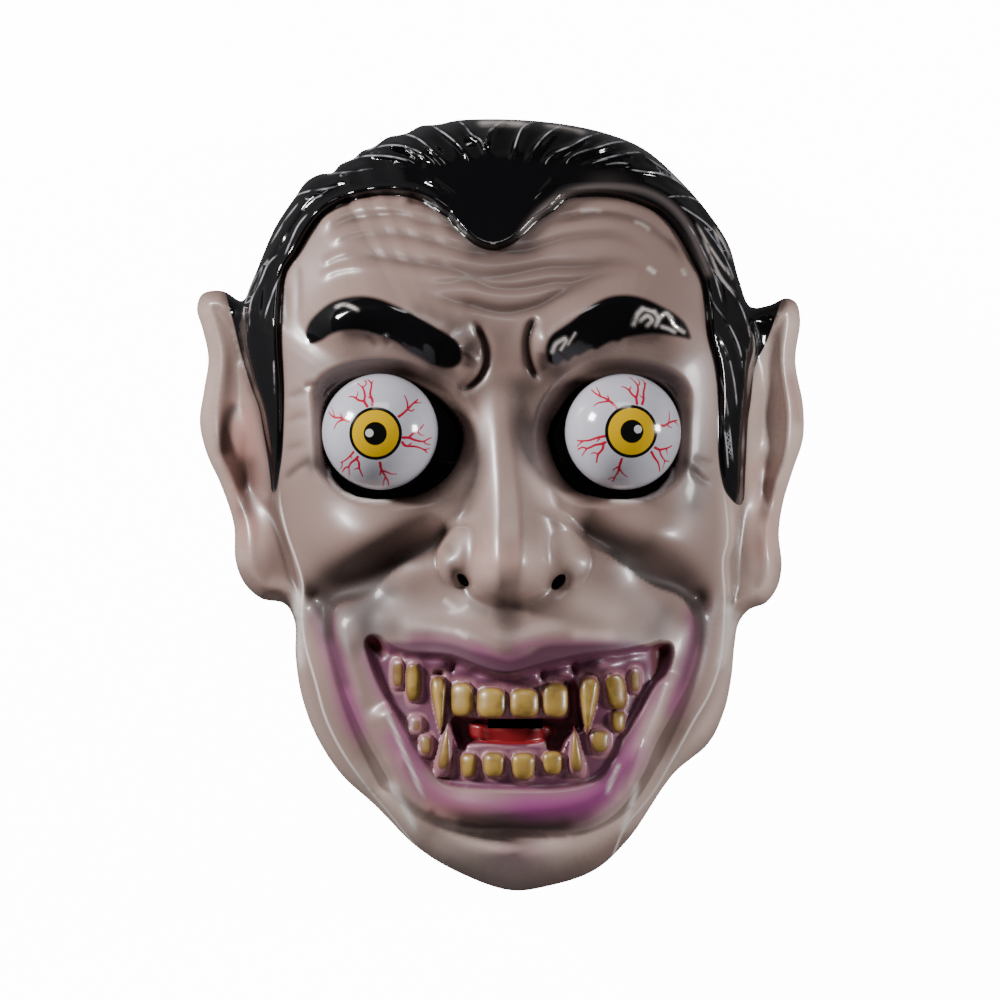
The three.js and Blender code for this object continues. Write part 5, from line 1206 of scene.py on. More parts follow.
@dataclass
class ShellBuilder:
    """Builds the thin moulded shell: detailed front, plain inside, flat rim and cut holes."""

    relief: MaskRelief
    wall: float = 1.2
    rim_spacing: float = 0.95
    hole_spacing: float = 0.55
    coarse: float = 1.1
    middle: float = 0.74
    fine: float = 0.54
    inner: float = 2.4
    edge_band: float = 3.2
    edge_rings: tuple[float, ...] = (0.12, 0.35, 0.8, 1.5, 2.4)
    wall_steps: int = 5
    inner_levels: tuple[float, ...] = (0.0, 0.45, 0.8)
    nostril_steps: int = 24
    quick_step: float = 1.6
    sharp_angle: float = 62.0

    def build(self, material: bpy.types.Material) -> bpy.types.Object:
        """Makes the shell with its painted areas stored on its vertices.

        Args:
            material: The painted plastic.

        Returns:
            The shell's object.
        """
        step = 1.0
        border = even_path(OUTLINE, self.rim_spacing * step)
        holes = self._holes(self.hole_spacing * step)
        front = triangulate([border, *holes], self._front_points(border, holes, step))
        low, sunken = self._back_grids()
        fields = self._fields(front.points[:, 0], front.points[:, 1], sunken)
        spread = hex_points(*MASK_BOX, self.inner * step)
        spread = spread[self.relief.inside("outline", spread[:, 0], spread[:, 1]) > self.wall + 1.2]
        spread = self._clear_of(spread, holes, 1.0)
        back = triangulate([boundary_offset(border, self.wall), *holes], spread)
        back_z = np.maximum(low.at(back.points[:, 0], back.points[:, 1]), 1.0)
        shell = bpy.data.objects.new("mask_face", self._assemble(front, back, fields, back_z))
        shell.data.materials.append(material)
        bpy.context.scene.collection.objects.link(shell)
        return shell

    def _holes(self, spacing: float) -> list[Array]:
        """Draws the borders of the eye slots, the mouth slot and the nostrils.

        Args:
            spacing: Length of a step along a slot.

        Returns:
            One closed run of points for each hole.
        """
        slots = (EYE_SLOT, right_eye(EYE_SLOT)[::-1], MOUTH_SLOT)
        loops = [self._straight_loop(points, spacing) for points in slots]
        for cx, cy, rx, ry, turn in NOSTRILS:
            angle = np.arange(self.nostril_steps) * 2 * math.pi / self.nostril_steps
            u, v = rx * np.cos(angle), ry * np.sin(angle)
            c, s = math.cos(turn), math.sin(turn)
            loops.append(np.column_stack([cx + u * c - v * s, cy + u * s + v * c]))
        return loops

    @staticmethod
    def _straight_loop(points: Sequence[Point], spacing: float) -> Array:
        """Cuts a closed run of straight edges into short steps.

        Args:
            points: Its corners.
            spacing: Wanted length of a step.

        Returns:
            Array of points, two columns.
        """
        out = []
        for (ax, ay), (bx, by) in zip(points, [*points[1:], points[0]]):
            count = max(1, round(math.hypot(bx - ax, by - ay) / spacing))
            t = np.arange(count)[:, None] / count
            out.append(np.array([[ax, ay]]) * (1 - t) + np.array([[bx, by]]) * t)
        return np.vstack(out)

    @staticmethod
    def _clear_of(points: Array, loops: Iterable[Array], gap: float) -> Array:
        """Drops points in a hole or beside one.

        Args:
            points: The points, two columns.
            loops: Borders of the holes.
            gap: Distance from a border that stays clear.

        Returns:
            The points that are left.
        """
        for loop in loops:
            distance, _ = path_distance(loop, points[:, 0], points[:, 1], True, 6.0)
            points = points[distance > gap]
        return points

    def _is_fine(self, x: Array, y: Array) -> Array:
        """Where the closest points go: mouth, socket edges, hairline and nostrils.

        Args:
            x, y: The places.

        Returns:
            True there.
        """
        hair, socket = (self.relief.inside(name, x, y) for name in ("hair", "socket"))
        keep = (self.relief.inside("mouth", x, y) > -2.2) | ((socket > -1.6) & (socket < 3.2))
        keep |= (hair > -1.2) & (hair < np.where(y > 60, 9.0, 2.0)) & (y > -6)
        for cx, cy, *_ in NOSTRILS:
            keep |= np.hypot(x - cx, y - cy) < 6.5
        return keep

    def _is_middling(self, x: Array, y: Array) -> Array:
        """Whether fairly close points go there: hair, forehead and nose."""
        drawn = ((y > 38) & (np.abs(x) < 70)) | ((y < 0) & (y > -50) & (np.abs(x) < 34))
        return (self.relief.inside("hair", x, y) > 1) | drawn

    def _front_points(self, border: Array, holes: list[Array], step: float) -> Array:
        """Spreads the free points of the front: rings near the edge, close points at fine features.

        Args:
            border: The outline's points.
            holes: Borders of the holes.
            step: Factor on every spacing.

        Returns:
            Array of points, two columns.
        """
        outline = self.relief.borders["outline"][0]
        rings = [boundary_offset(border, inset, outline) for inset in self.edge_rings]
        spread = []
        for rank, box, spacing in ((0, MASK_BOX, self.coarse), (1, MASK_BOX, self.middle),
                                   (2, FACE_BOX, self.fine)):
            points = hex_points(*box, spacing * step)
            x, y = points.T
            wanted = np.where(self._is_fine(x, y), 2, np.where(self._is_middling(x, y), 1, 0))
            spread.append(points[(outline.inside(x, y) > self.edge_band) & (wanted == rank)])
        return np.vstack([*rings, self._clear_of(np.vstack(spread), holes, 0.3 * step)])

    def _back_grids(self) -> tuple[Grid, Grid]:
        """Works out two grids over the mask.

        Returns:
            The height of its inside, and how sunken its front is.
        """
        cell = 1.0
        xs, ys = np.arange(-110, 110.5, cell), np.arange(-139, 139.5, cell)
        gx, gy = np.meshgrid(xs, ys)
        z = self.relief.sample(gx.ravel(), gy.ravel())["z"].reshape(gx.shape)
        low = z - self.wall
        for j in range(-2, 3):
            for i in range(-2, 3):
                away = math.hypot(i, j) * cell
                drop = -math.sqrt(max(self.wall ** 2 - away ** 2, 0)) if away < self.wall else 0.25 * away
                low = np.minimum(low, np.roll(z, (j, i), (0, 1)) + drop)
        smooth = z
        for _ in range(3):
            smooth = sum(np.roll(smooth, k, 0) for k in (-2, -1, 0, 1, 2)) / 5
            smooth = sum(np.roll(smooth, k, 1) for k in (-2, -1, 0, 1, 2)) / 5
        corner = (xs[0], ys[0])
        return Grid(low, corner, cell), Grid(smooth - z, corner, cell)

    def _fields(self, x: Array, y: Array, sunken: Grid) -> dict[str, Array]:
        """Gathers the height and everything that the paint reads.

        Args:
            x, y: The places.
            sunken: How sunken the front is.

        Returns:
            The height under "z", and one array for each painted area.
        """
        fields = self.relief.sample(x, y) | self._airbrush(x, y)
        rim = ramp(0.2, 1.4, self.relief.inside("outline", x, y))
        # Painted shade in sunken places: the deeper the front lies below its smoothed surface, the darker;
        # the lit strokes take it off
        relief_shading = sunken.at(x, y) * mix(1.0, 0.25, ramp(80, 88, np.abs(x)))
        fields["relief_shading"] = relief_shading * ((1 - fields.pop("lit")) * rim)
        for name in ("gleam", "shade", "purple"):
            fields[name] *= rim
        return fields

    def _airbrush(self, x: Array, y: Array) -> dict[str, Array]:
        """Lays each colour's strokes over one another; the painted shade of the cheek hollows stops at the
        mouth mass.

        Args:
            x, y: The places.

        Returns:
            For each name in AIRBRUSH, its cover from 0 to 1.
        """
        paint = {}
        for name, strokes in AIRBRUSH.items():
            clear = np.ones(x.shape)
            for spray in strokes:
                clear *= 1 - spray.cover(x, y)
            paint[name] = 1 - clear
        paint["hollow_shade"] *= ramp(0.6, -0.6, self.relief.inside("muzzle", x, y))
        return paint

    def _assemble(self, front: Sheet, back: Sheet, fields: dict[str, Array], back_z: Array) -> bpy.types.Mesh:
        """Joins the front, the inside, the outer wall, the rim and the hole walls into one closed mesh.

        Args:
            front, back: The two sheets, with the same rings.
            fields: Height and painted areas of the front.
            back_z: Height of the inside.

        Returns:
            The mesh, with its painted areas stored on it.
        """
        z = fields.pop("z")
        start = len(front.points)
        tris = [front.faces, back.faces[:, ::-1] + start]
        for ring, back_ring in zip(front.rings[1:], back.rings[1:]):
            back_z[back_ring] = np.minimum(back_z[back_ring], z[ring] - 0.6 * self.wall)
            tris += self._strip(ring[::-1], (back_ring + start)[::-1])
        verts = [np.column_stack([front.points, z]), np.column_stack([back.points, back_z])]
        source = [np.arange(start), np.full(len(back.points), -1)]
        outer, inner = front.rings[0], back.rings[0]
        rows = []
        for k in range(1, self.wall_steps + 1):
            rows.append((front.points[outer], z[outer] * (1 - k / self.wall_steps), outer))
        for level in self.inner_levels:
            rows.append((back.points[inner], back_z[inner] * level, np.full(len(inner), -1)))
        count, row = start + len(back.points), outer
        for points, heights, origin in rows:
            verts.append(np.column_stack([points, heights]))
            source.append(origin)
            new = np.arange(len(row)) + count
            count += len(row)
            tris += self._strip(row, new)
            row = new
        tris += self._strip(row, inner + start)
        mesh = self._mesh(np.vstack(verts) * MM, np.vstack(tris))
        painted = np.concatenate(source) >= 0
        for name, values in fields.items():
            store(mesh, name, np.where(painted, values[np.maximum(np.concatenate(source), 0)], 0.0))
        store(mesh, "bare", np.where(painted, 0.0, 1.0))
        return mesh

    def _mesh(self, vertices: Array, triangles: Array) -> bpy.types.Mesh:
        """Makes a smooth shaded mesh that stays sharp at its rim.

        Args:
            vertices: Places in metres, three columns.
            triangles: Vertex numbers, three columns.

        Returns:
            The mesh.
        """
        mesh = bpy.data.meshes.new("mask_face")
        mesh.vertices.add(len(vertices))
        mesh.vertices.foreach_set("co", vertices.ravel())
        mesh.loops.add(triangles.size)
        mesh.loops.foreach_set("vertex_index", triangles.ravel().astype(np.int32))
        mesh.polygons.add(len(triangles))
        mesh.polygons.foreach_set("loop_start", np.arange(len(triangles), dtype=np.int32) * 3)
        mesh.polygons.foreach_set("use_smooth", np.ones(len(triangles), bool))
        mesh.update(calc_edges=True)
        mesh.validate()
        mesh.set_sharp_from_angle(angle=math.radians(self.sharp_angle))
        log.info("mask shell: %d vertices, %d triangles", len(vertices), len(triangles))
        return mesh

    @staticmethod
    def _strip(upper: Array, lower: Array) -> list[Array]:
        """Triangles between two closed rows of the same length; they face right of the way the rows run."""
        ahead, below = np.roll(upper, -1), np.roll(lower, -1)
        return [np.column_stack([upper, lower, ahead]), np.column_stack([ahead, lower, below])]


@dataclass
class NodeKit:
    """Small helper that adds linked nodes to a tree."""

    tree: bpy.types.NodeTree

    def add(self, kind: str, inputs: dict[str | int, object] | None = None,
            **settings: object) -> bpy.types.Node:
        """Adds a node, sets its options and fills or links its inputs.

        Args:
            kind: The node's type.
            inputs: For each input's name or number, a value or the socket to link.
            settings: Options of the node.

        Returns:
            The node.
        """
        node = self.tree.nodes.new(kind)
        for name, value in settings.items():
            setattr(node, name, value)
        for key, value in (inputs or {}).items():
            if isinstance(value, Socket):
                self.tree.links.new(value, node.inputs[key])
            else:
                node.inputs[key].default_value = value
        return node

    def attribute(self, name: str) -> Socket:
        """A number stored on the mesh."""
        return self.add("ShaderNodeAttribute", attribute_name=name).outputs["Fac"]

    def math(self, operation: str, a: object, b: object = 0.0) -> Socket:
        """A Math node."""
        return self.add("ShaderNodeMath", {0: a, 1: b}, operation=operation).outputs[0]

    def scaled(self, value: object, share: float) -> Socket:
        """A value times a fixed share."""
        return self.math("MULTIPLY", value, share)

    def step(self, value: object, low: float, high: float) -> Socket:
        """Smooth step of a value from 0 at low to 1 at high."""
        limits = {"Value": value, "From Min": low, "From Max": high}
        return self.add("ShaderNodeMapRange", limits, interpolation_type="SMOOTHSTEP").outputs["Result"]

    def area(self, name: str, low: float, high: float) -> Socket:
        """Smooth step of a number stored on the mesh."""
        return self.step(self.attribute(name), low, high)

    def blend(self, share: object, a: object, b: object) -> Socket:
        """Mixes two colours."""
        return self.add("ShaderNodeMix", {"Factor": share, 6: a, 7: b}, data_type="RGBA").outputs[2]

    def number(self, share: object, a: object, b: object) -> Socket:
        """Mixes two numbers."""
        return self.add("ShaderNodeMix", {"Factor": share, 2: a, 3: b}, data_type="FLOAT").outputs[0]

    def noise(self, scale: object, detail: float) -> Socket:
        """Noise over object coordinates."""
        inputs = {"Vector": self.place(), "Scale": scale, "Detail": detail}
        return self.add("ShaderNodeTexNoise", inputs).outputs["Fac"]

    def place(self) -> Socket:
        """Object coordinates."""
        return self.add("ShaderNodeTexCoord").outputs["Object"]

    def layers(self, colour: object, rows: Iterable[tuple[str, float, float, float, Colour]]) -> Socket:
        """Lays paints over a colour, one after another.

        Args:
            colour: The colour underneath.
            rows: For each paint the stored number's name, where it starts, where it is full, its strength
                and its colour.

        Returns:
            The painted colour.
        """
        for name, low, high, strength, paint in rows:
            share = self.area(name, low, high)
            colour = self.blend(share if strength == 1 else self.scaled(share, strength), colour, paint)
        return colour


def moulded_gloss_group() -> bpy.types.ShaderNodeTree:
    """Makes the shader group of the shell and the eyeballs.

    Returns:
        The group: faint unevenness of moulded, handled plastic.
    """
    tree = bpy.data.node_groups.new("moulded_gloss", "ShaderNodeTree")
    for name, default in (("Roughness", 0.25), ("Variation", 0.06), ("Ripple Scale", 260.0)):
        tree.interface.new_socket(name, in_out="INPUT", socket_type="NodeSocketFloat").default_value = default
    for name in ("Roughness", "Ripple"):
        tree.interface.new_socket(name, in_out="OUTPUT", socket_type="NodeSocketFloat")
    kit = NodeKit(tree)
    entry = kit.add("NodeGroupInput").outputs
    shift = kit.math("MULTIPLY", kit.math("SUBTRACT", kit.noise(45.0, 3.0), 0.5), entry["Variation"])
    rough = kit.math("ADD", entry["Roughness"], shift)
    kit.add("NodeGroupOutput", {"Roughness": rough, "Ripple": kit.noise(entry["Ripple Scale"], 1.0)})
    return tree


def new_material(name: str) -> tuple[bpy.types.Material, NodeKit]:
    """Makes an empty material.

    Args:
        name: Its name.
    """
    mat = bpy.data.materials.new(name)
    mat.use_nodes = True
    mat.node_tree.nodes.clear()
    return mat, NodeKit(mat.node_tree)


@dataclass(frozen=True)
class FacePaint:
    """Airbrushed colours of the shell, with painted light and painted shade among them, and how glossy each
    one is.
    """

    skin: Colour = srgb(139, 115, 108)
    skin_warm: Colour = srgb(148, 121, 110)
    shade: Colour = srgb(50, 34, 30)
    painted_light: Colour = srgb(210, 184, 174)
    hollow_shade: Colour = srgb(40, 27, 25)
    roll: Colour = srgb(92, 82, 80)
    strand_highlight: Colour = srgb(176, 172, 178)
    painted_highlight: Colour = srgb(224, 214, 208)
    purple: Colour = srgb(142, 60, 118)
    rose: Colour = srgb(178, 118, 108)
    purple_dark: Colour = srgb(84, 42, 66)
    black: Colour = srgb(6, 5, 7)
    gum: Colour = srgb(106, 60, 82)
    gum_pink: Colour = srgb(148, 102, 112)
    mouth_dark: Colour = srgb(84, 32, 40)
    tooth: Colour = srgb(160, 128, 62)
    stain: Colour = srgb(104, 80, 30)
    tooth_edge: Colour = srgb(112, 76, 48)
    tongue: Colour = srgb(124, 14, 22)
    plastic: Colour = srgb(205, 196, 186)
    skin_rough: float = 0.4
    hollow_rough: float = 0.7
    shade_rough: float = 0.62
    lacquer_rough: float = 0.09
    pocket_rough: float = 0.8

    def material(self, gloss: bpy.types.ShaderNodeTree) -> bpy.types.Material:
        """Builds the shell's material from the painted areas stored on its mesh.

        Args:
            gloss: The shared shader group.

        Returns:
            The painted plastic.
        """
        mat, kit = new_material("painted_face_plastic")
        black = kit.math("MAXIMUM", kit.area("hair", -1.2, -0.6), kit.area("brow", -0.9, 0.9))
        black = kit.math("MAXIMUM", black, kit.area("socket", -0.6, 0.6))
        colour = self._mouth(kit, self._skin(kit))
        # A thin painted highlight along the front edge of the cheeks and jaw on the lower face
        across = kit.add("ShaderNodeSeparateXYZ", {0: kit.place()}).outputs[1]
        edge = kit.step(kit.math("ABSOLUTE", kit.math("SUBTRACT", kit.attribute("front"), 0.3)), 0.65, 0.15)
        edge = kit.math("MULTIPLY", edge, kit.step(across, 0.008, -0.006))
        colour = kit.blend(kit.scaled(edge, 0.75), colour, self.painted_highlight)
        colour = kit.blend(black, colour, self._lacquer(kit))
        # Painted glints and highlight streaks, broken up by noise
        glint = kit.math("MULTIPLY", kit.attribute("gleam"), kit.step(kit.noise(240, 2), 0.1, 0.48))
        colour = kit.blend(glint, colour, self.painted_highlight)
        colour = kit.blend(kit.area("bare", 0.45, 0.55), colour, self.plastic)
        matte = kit.area("pocket", -1.6, 0.4)
        rough = kit.number(kit.attribute("hollow_shade"), self.skin_rough, self.hollow_rough)
        rough = kit.number(kit.attribute("shade"), rough, self.shade_rough)
        rough = kit.number(matte, kit.number(black, rough, self.lacquer_rough), self.pocket_rough)
        finish = kit.add("ShaderNodeGroup", {"Roughness": rough}, node_tree=gloss)
        bump = kit.add("ShaderNodeBump", {"Strength": 0.06, "Distance": 0.0004,
                                          "Height": finish.outputs["Ripple"]})
        coat = kit.number(kit.math("MAXIMUM", black, matte), 0.2, 0.02)
        shader = kit.add("ShaderNodeBsdfPrincipled", {
            "Base Color": colour, "Roughness": finish.outputs["Roughness"], "Normal": bump.outputs[0],
            "Coat Weight": coat, "Coat Roughness": 0.16, "IOR": 1.5})
        kit.add("ShaderNodeOutputMaterial", {"Surface": shader.outputs[0]})
        return mat

    def _skin(self, kit: NodeKit) -> Socket:
        """Lays the airbrushed colours, the painted light and the painted shade over the mottled skin.

        Args:
            kit: Adds the nodes.

        Returns:
            The painted colour.
        """
        mottling = kit.step(kit.noise(38, 3), 0.35, 0.7)
        colour = kit.blend(kit.scaled(mottling, 0.35), self.skin, self.skin_warm)
        for name, paint in (("painted_light", self.painted_light), ("rose", self.rose), ("purple", self.purple),
                            ("hollow_shade", self.hollow_shade), ("shade", self.shade), ("crease_shade", self.shade)):
            colour = kit.blend(kit.attribute(name), colour, paint)
        # Then painted shade in sunken places, brown on the socket slopes, and under the upper lip its dark
        # purple with painted shade where the lip overhangs
        return kit.layers(colour, (("relief_shading", 0.15, 1.6, 0.55, self.shade),
                                   ("ring", 0.0, 5.0, 0.7, self.shade),
                                   ("band", -1.6, 1.0, 0.85, self.purple_dark)))

    def _mouth(self, kit: NodeKit, skin: Socket) -> Socket:
        """Paints the gums, the tongue and the stained teeth over the skin.

        Args:
            kit: Adds the nodes.
            skin: The colour round the mouth.

        Returns:
            The painted colour.
        """
        pink, dark = self.gum_pink, self.mouth_dark
        # On the gums raised places are painted lighter and sunken ones darker: painted light and painted
        # shade
        gum = kit.layers(self.gum, (("halo", -1.8, -0.1, 1, pink), ("relief_shading", -0.5, -1.4, 1, pink),
                                    ("relief_shading", 1.0, 3.2, 1, dark), ("recess", -0.6, 0.6, 1, dark),
                                    ("pocket", -0.8, 1.0, 1, dark)))
        colour = kit.blend(kit.area("mouth", -0.2, 1.0), skin, gum)
        colour = kit.blend(kit.area("tongue", -0.2, 0.3), colour, self.tongue)
        enamel = kit.blend(kit.area("tooth", 0.0, 0.8), self.tooth_edge, self.tooth)
        enamel = kit.blend(kit.scaled(kit.step(kit.noise(150, 3), 0.42, 0.68), 0.65), enamel, self.stain)
        return kit.blend(kit.area("tooth", 0.0, 0.12), colour, enamel)

    def _lacquer(self, kit: NodeKit) -> Socket:
        """Paints the black hair with its roll band, partly brownish overspray and partly painted reflection,
        and with painted highlight lines along the edges of its locks.

        Args:
            kit: Adds the nodes.

        Returns:
            The colour of the lacquer.
        """
        # Painted highlight lines along the lock edges near the outline
        strand_glint = kit.step(kit.math("ABSOLUTE", kit.attribute("lock")), 0.42, 0.12)
        strand_glint = kit.math("MULTIPLY", strand_glint, kit.area("lock_near", 1.3, 0.5))
        strand_glint = kit.math("MULTIPLY", strand_glint, kit.step(kit.noise(150, 2), 0.3, 0.62))
        # The roll band: overspray with painted reflection
        lacquer = kit.blend(kit.attribute("roll"), self.black, self.roll)
        return kit.blend(kit.scaled(strand_glint, 0.7), lacquer, self.strand_highlight)


@dataclass(frozen=True)
class EyePrint:
    """Printed finish of the ball eyes: white, thin red veins, ringed yellow iris and pupil."""

    white: Colour = srgb(184, 183, 193)
    vein: Colour = srgb(176, 18, 52)
    ring: Colour = srgb(10, 10, 8)
    iris: Colour = srgb(206, 164, 0)
    catch: Colour = srgb(196, 200, 200)
    ring_radius: float = 9.5
    iris_radius: float = 8.3
    pupil_radius: float = 4.05
    blur: float = 0.12

    def material(self, gloss: bpy.types.ShaderNodeTree) -> bpy.types.Material:
        """Builds the ball's material from the gaze distances stored on its mesh.

        Args:
            gloss: The shared shader group.

        Returns:
            The printed plastic.
        """
        mat, kit = new_material("printed_ball_plastic")
        colour = kit.blend(kit.area("vein", -0.14, 0.14), self.white, self.vein)
        radius = kit.attribute("iris")
        for limit, paint in ((self.ring_radius, self.ring), (self.iris_radius, self.iris),
                             (self.pupil_radius, self.ring)):
            colour = kit.blend(kit.step(radius, limit + self.blur, limit - self.blur), colour, paint)
        colour = kit.blend(kit.area("catch", 1.55, 1.3), colour, self.catch)
        finish = kit.add("ShaderNodeGroup", {"Roughness": 0.14, "Variation": 0.05}, node_tree=gloss)
        bump = kit.add("ShaderNodeBump", {"Strength": 0.03, "Distance": 0.0003,
                                          "Height": finish.outputs["Ripple"]})
        shader = kit.add("ShaderNodeBsdfPrincipled", {
            "Base Color": colour, "Roughness": finish.outputs["Roughness"], "Normal": bump.outputs[0],
            "Coat Weight": 0.35, "Coat Roughness": 0.06, "IOR": 1.5})
        kit.add("ShaderNodeOutputMaterial", {"Surface": shader.outputs[0]})
        return mat


class Side(Enum):
    """The two eyes, as the viewer sees them."""

    LEFT = "left"
    RIGHT = "right"


@dataclass
class Eyeball:
    """A printed ball with a small flat where it is glued to its socket plate."""

    side: Side
    centre: Point
    gaze: Point
    catch: Point
    veins: Sequence[tuple[list[Point], float]]
    radius: float = 20.1
    seat_radius: float = 8.5
    plate: float = 50.3
    around: int = 300
    rings: int = 150

    def build(self, material: bpy.types.Material) -> bpy.types.Object:
        """Makes the ball from its node tree, then stores the print's distances on it.

        Args:
            material: The printed plastic.

        Returns:
            The ball's object.
        """
        depth = math.sqrt(self.radius ** 2 - self.seat_radius ** 2)
        centre = np.array([*self.centre, self.plate + depth])
        name = f"eye_{self.side.value}"
        ball = bpy.data.objects.new(name, bpy.data.meshes.new(name))
        bpy.context.scene.collection.objects.link(ball)
        tree = self._tree(material)
        modifier = ball.modifiers.new("form", "NODES")
        modifier.node_group = tree
        values = {"Radius": self.radius * MM, "Seat Depth": depth * MM, "Around": self.around,
                  "Rings": self.rings, "Centre": tuple(centre * MM)}
        for item in tree.interface.items_tree:
            if item.item_type == "SOCKET" and item.in_out == "INPUT" and item.name in values:
                modifier[item.identifier] = values[item.name]
        graph = bpy.context.evaluated_depsgraph_get()
        mesh = bpy.data.meshes.new_from_object(ball.evaluated_get(graph), depsgraph=graph)
        ball.modifiers.clear()
        ball.data = mesh
        self._store_print(mesh, centre)
        log.info("%s: %d faces", name, len(mesh.polygons))
        return ball

    @staticmethod
    def _tree(material: bpy.types.Material) -> bpy.types.GeometryNodeTree:
        """Makes the node tree of the ball: a sphere, its glued flat pressed in, set in its place.

        Args:
            material: The printed plastic.

        Returns:
            The tree.
        """
        tree = bpy.data.node_groups.new("ball_eye", "GeometryNodeTree")
        for name, kind in (("Radius", "Float"), ("Seat Depth", "Float"), ("Around", "Int"), ("Rings", "Int"),
                           ("Centre", "Vector")):
            tree.interface.new_socket(name, in_out="INPUT", socket_type=f"NodeSocket{kind}")
        tree.interface.new_socket("Geometry", in_out="OUTPUT", socket_type="NodeSocketGeometry")
        kit = NodeKit(tree)
        entry = kit.add("NodeGroupInput").outputs
        sphere = kit.add("GeometryNodeMeshUVSphere", {"Segments": entry["Around"], "Rings": entry["Rings"],
                                                      "Radius": entry["Radius"]}).outputs["Mesh"]
        place = kit.add("GeometryNodeInputPosition").outputs[0]
        parts = kit.add("ShaderNodeSeparateXYZ", {0: place}).outputs
        height = kit.math("MAXIMUM", parts[2], kit.scaled(entry["Seat Depth"], -1.0))
        pressed = kit.add("ShaderNodeCombineXYZ", {0: parts[0], 1: parts[1], 2: height}).outputs[0]
        shape = kit.add("GeometryNodeSetPosition", {"Geometry": sphere, "Position": pressed}).outputs[0]
        for kind, inputs in (("Transform", {"Translation": entry["Centre"]}), ("SetShadeSmooth", {}),
                             ("RealizeInstances", {}), ("SetMaterial", {"Material": material})):
            shape = kit.add(f"GeometryNode{kind}", {"Geometry": shape, **inputs}).outputs[0]
        kit.add("NodeGroupOutput", {"Geometry": shape})
        return tree

    def _store_print(self, mesh: bpy.types.Mesh, centre: Array) -> None:
        """Stores each vertex's distance from the gaze point, the catch light and the veins, in millimetres.

        Args:
            mesh: The ball's mesh.
            centre: Middle of the ball in millimetres.
        """
        co = np.empty(len(mesh.vertices) * 3, np.float32)
        mesh.vertices.foreach_get("co", co)
        local = co.reshape(-1, 3) / MM - centre
        tilt_x, tilt_y = (math.radians(a) for a in self.gaze)
        aim = np.array([math.sin(tilt_x), math.sin(tilt_y) * math.cos(tilt_x),
                        math.cos(tilt_x) * math.cos(tilt_y)])
        right = np.cross([0.0, 1.0, 0.0], aim)
        right /= np.linalg.norm(right)
        up = np.cross(aim, right)
        u, v, w = local @ right, local @ up, local @ aim
        radius = np.hypot(u, v)
        spread = self.radius * np.arccos(np.clip(w / self.radius, -1, 1)) / np.maximum(radius, 1e-6)
        u, v = u * spread, v * spread
        vein = np.full(len(u), -3.0)
        for points, width in self.veins:
            flat = np.array(points)
            lifted = np.column_stack([flat, np.sqrt(np.maximum(self.radius ** 2 - (flat ** 2).sum(1), 0))])
            a, b, c = lifted @ right, lifted @ up, lifted @ aim
            turn = self.radius * np.arccos(np.clip(c / self.radius, -1, 1)) / np.hypot(a, b)
            line = smooth_path(np.column_stack([a * turn, b * turn]), False, 4)
            distance, along = path_distance(line, u, v, False, 3.0)
            vein = np.maximum(vein, width * (0.62 - 0.24 * along) - distance)
        store(mesh, "iris", np.hypot(u, v))
        store(mesh, "vein", vein)
        store(mesh, "catch", np.hypot(u - self.catch[0], v - self.catch[1]))


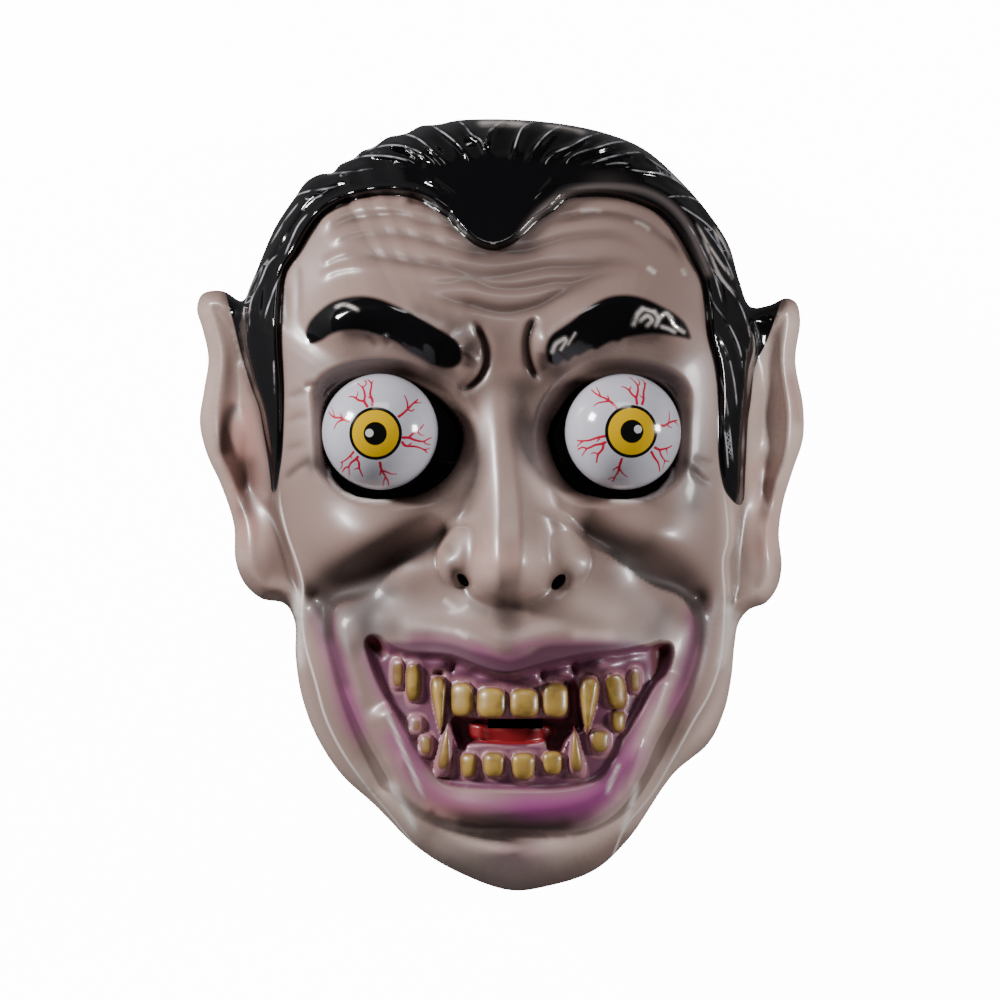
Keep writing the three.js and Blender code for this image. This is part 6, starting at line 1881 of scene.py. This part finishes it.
@dataclass
class Studio:
    """Pale floor, softboxes and a long lens that looks straight down on the lying mask."""

    frame_width: float = 0.350
    distance: float = 6.0
    sensor: float = 36.0
    centre: Point = (0.0, 1.4)
    floor_size: float = 9.0
    glow: float = 14.0
    shadow_half: Point = (0.066, 0.095)
    shadow_drop: float = 0.012

    def build(self) -> None:
        """Makes the camera, the lights, the floor and the surroundings."""
        scene = bpy.context.scene
        data = bpy.data.cameras.new("camera")
        data.sensor_width = self.sensor
        data.lens = self.sensor * self.distance / self.frame_width
        data.clip_end = 50.0
        camera = bpy.data.objects.new("camera", data)
        camera.location = (self.centre[0] * MM, self.centre[1] * MM, self.distance)
        scene.collection.objects.link(camera)
        scene.camera = camera
        self._softbox("left_softbox", (-1.36, 0.70, 0.56), (0.30, 0.36), 50.0)
        self._softbox("right_softbox", (1.52, 0.18, 0.52), (0.26, 0.30), 25.0)
        self._softbox("top_softbox", (0.0, 1.25, 0.95), (0.8, 0.35), 5.0)
        self._softbox("low_fill", (0.0, -1.30, 0.90), (0.6, 0.30), 5.0).visible_glossy = False
        scene.world = bpy.data.worlds.new("studio")
        scene.world.use_nodes = True
        sky = scene.world.node_tree.nodes["Background"].inputs
        sky[0].default_value = srgb(240, 241, 244)
        sky[1].default_value = 0.05
        self._floor()

    @staticmethod
    def _softbox(name: str, place: tuple[float, float, float], size: Point, power: float) -> bpy.types.Object:
        """Makes a rectangular light aimed at the mask, hidden from the camera.

        Args:
            name: Its name.
            place: Where it stands, metres.
            size: Width and height, metres.
            power: Watts.

        Returns:
            The light's object.
        """
        data = bpy.data.lights.new(name, "AREA")
        data.shape = "RECTANGLE"
        data.size, data.size_y = size
        data.energy = power
        lamp = bpy.data.objects.new(name, data)
        lamp.location = place
        lamp.rotation_euler = (Vector((0, 0, 0.05)) - Vector(place)).to_track_quat("-Z", "Y").to_euler()
        lamp.visible_camera = False
        bpy.context.scene.collection.objects.link(lamp)
        return lamp

    def _floor(self) -> None:
        """Makes a plain floor that glows for the camera alone, but not in an oval under the mask."""
        half = self.floor_size / 2
        corners = [(-half, -half, 0), (half, -half, 0), (half, half, 0), (-half, half, 0)]
        mesh = bpy.data.meshes.new("floor")
        mesh.from_pydata(corners, [], [(0, 1, 2, 3)])
        floor = bpy.data.objects.new("floor", mesh)
        mat, kit = new_material("pale_floor")
        seen = kit.add("ShaderNodeLightPath").outputs["Is Camera Ray"]
        place = kit.add("ShaderNodeSeparateXYZ", {0: kit.place()}).outputs
        across = kit.math("POWER", kit.math("DIVIDE", place[0], self.shadow_half[0]), 2.0)
        along = kit.math("DIVIDE", kit.math("ADD", place[1], self.shadow_drop), self.shadow_half[1])
        open_floor = kit.step(kit.math("ADD", across, kit.math("POWER", along, 2.0)), 1.0, 1.15)
        shader = kit.add("ShaderNodeBsdfPrincipled", {
            "Base Color": kit.blend(seen, srgb(70, 70, 72), srgb(200, 200, 200)), "Roughness": 0.9,
            "Emission Color": (1.0, 1.0, 1.0, 1.0),
            "Emission Strength": kit.scaled(kit.math("MULTIPLY", seen, open_floor), self.glow)})
        kit.add("ShaderNodeOutputMaterial", {"Surface": shader.outputs[0]})
        mesh.materials.append(mat)
        bpy.context.scene.collection.objects.link(floor)


def main() -> None:
    """Builds the mask in order and reports each piece."""
    logging.basicConfig(level=logging.INFO, format="%(name)s: %(message)s")
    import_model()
    Studio().build()
    gloss = moulded_gloss_group()
    shell = ShellBuilder(MaskRelief()).build(FacePaint().material(gloss))
    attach(shell, "root")
    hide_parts("mask_shell")
    ball_plastic = EyePrint().material(gloss)
    eyes = (
        Eyeball(Side.LEFT, centre=(-41.5, 25.0), gaze=(-4.5, -2.0), catch=(-2.0, 0.2), veins=LEFT_VEINS),
        Eyeball(Side.RIGHT, centre=(42.55, 25.0), gaze=(8.6, 0.2), catch=(2.1, 0.75), veins=RIGHT_VEINS))
    for eye in eyes:
        ball = eye.build(ball_plastic)
        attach(ball, "root")
        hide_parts(f"eyeball_{eye.side.value}")


if __name__ == "__main__":
    main()
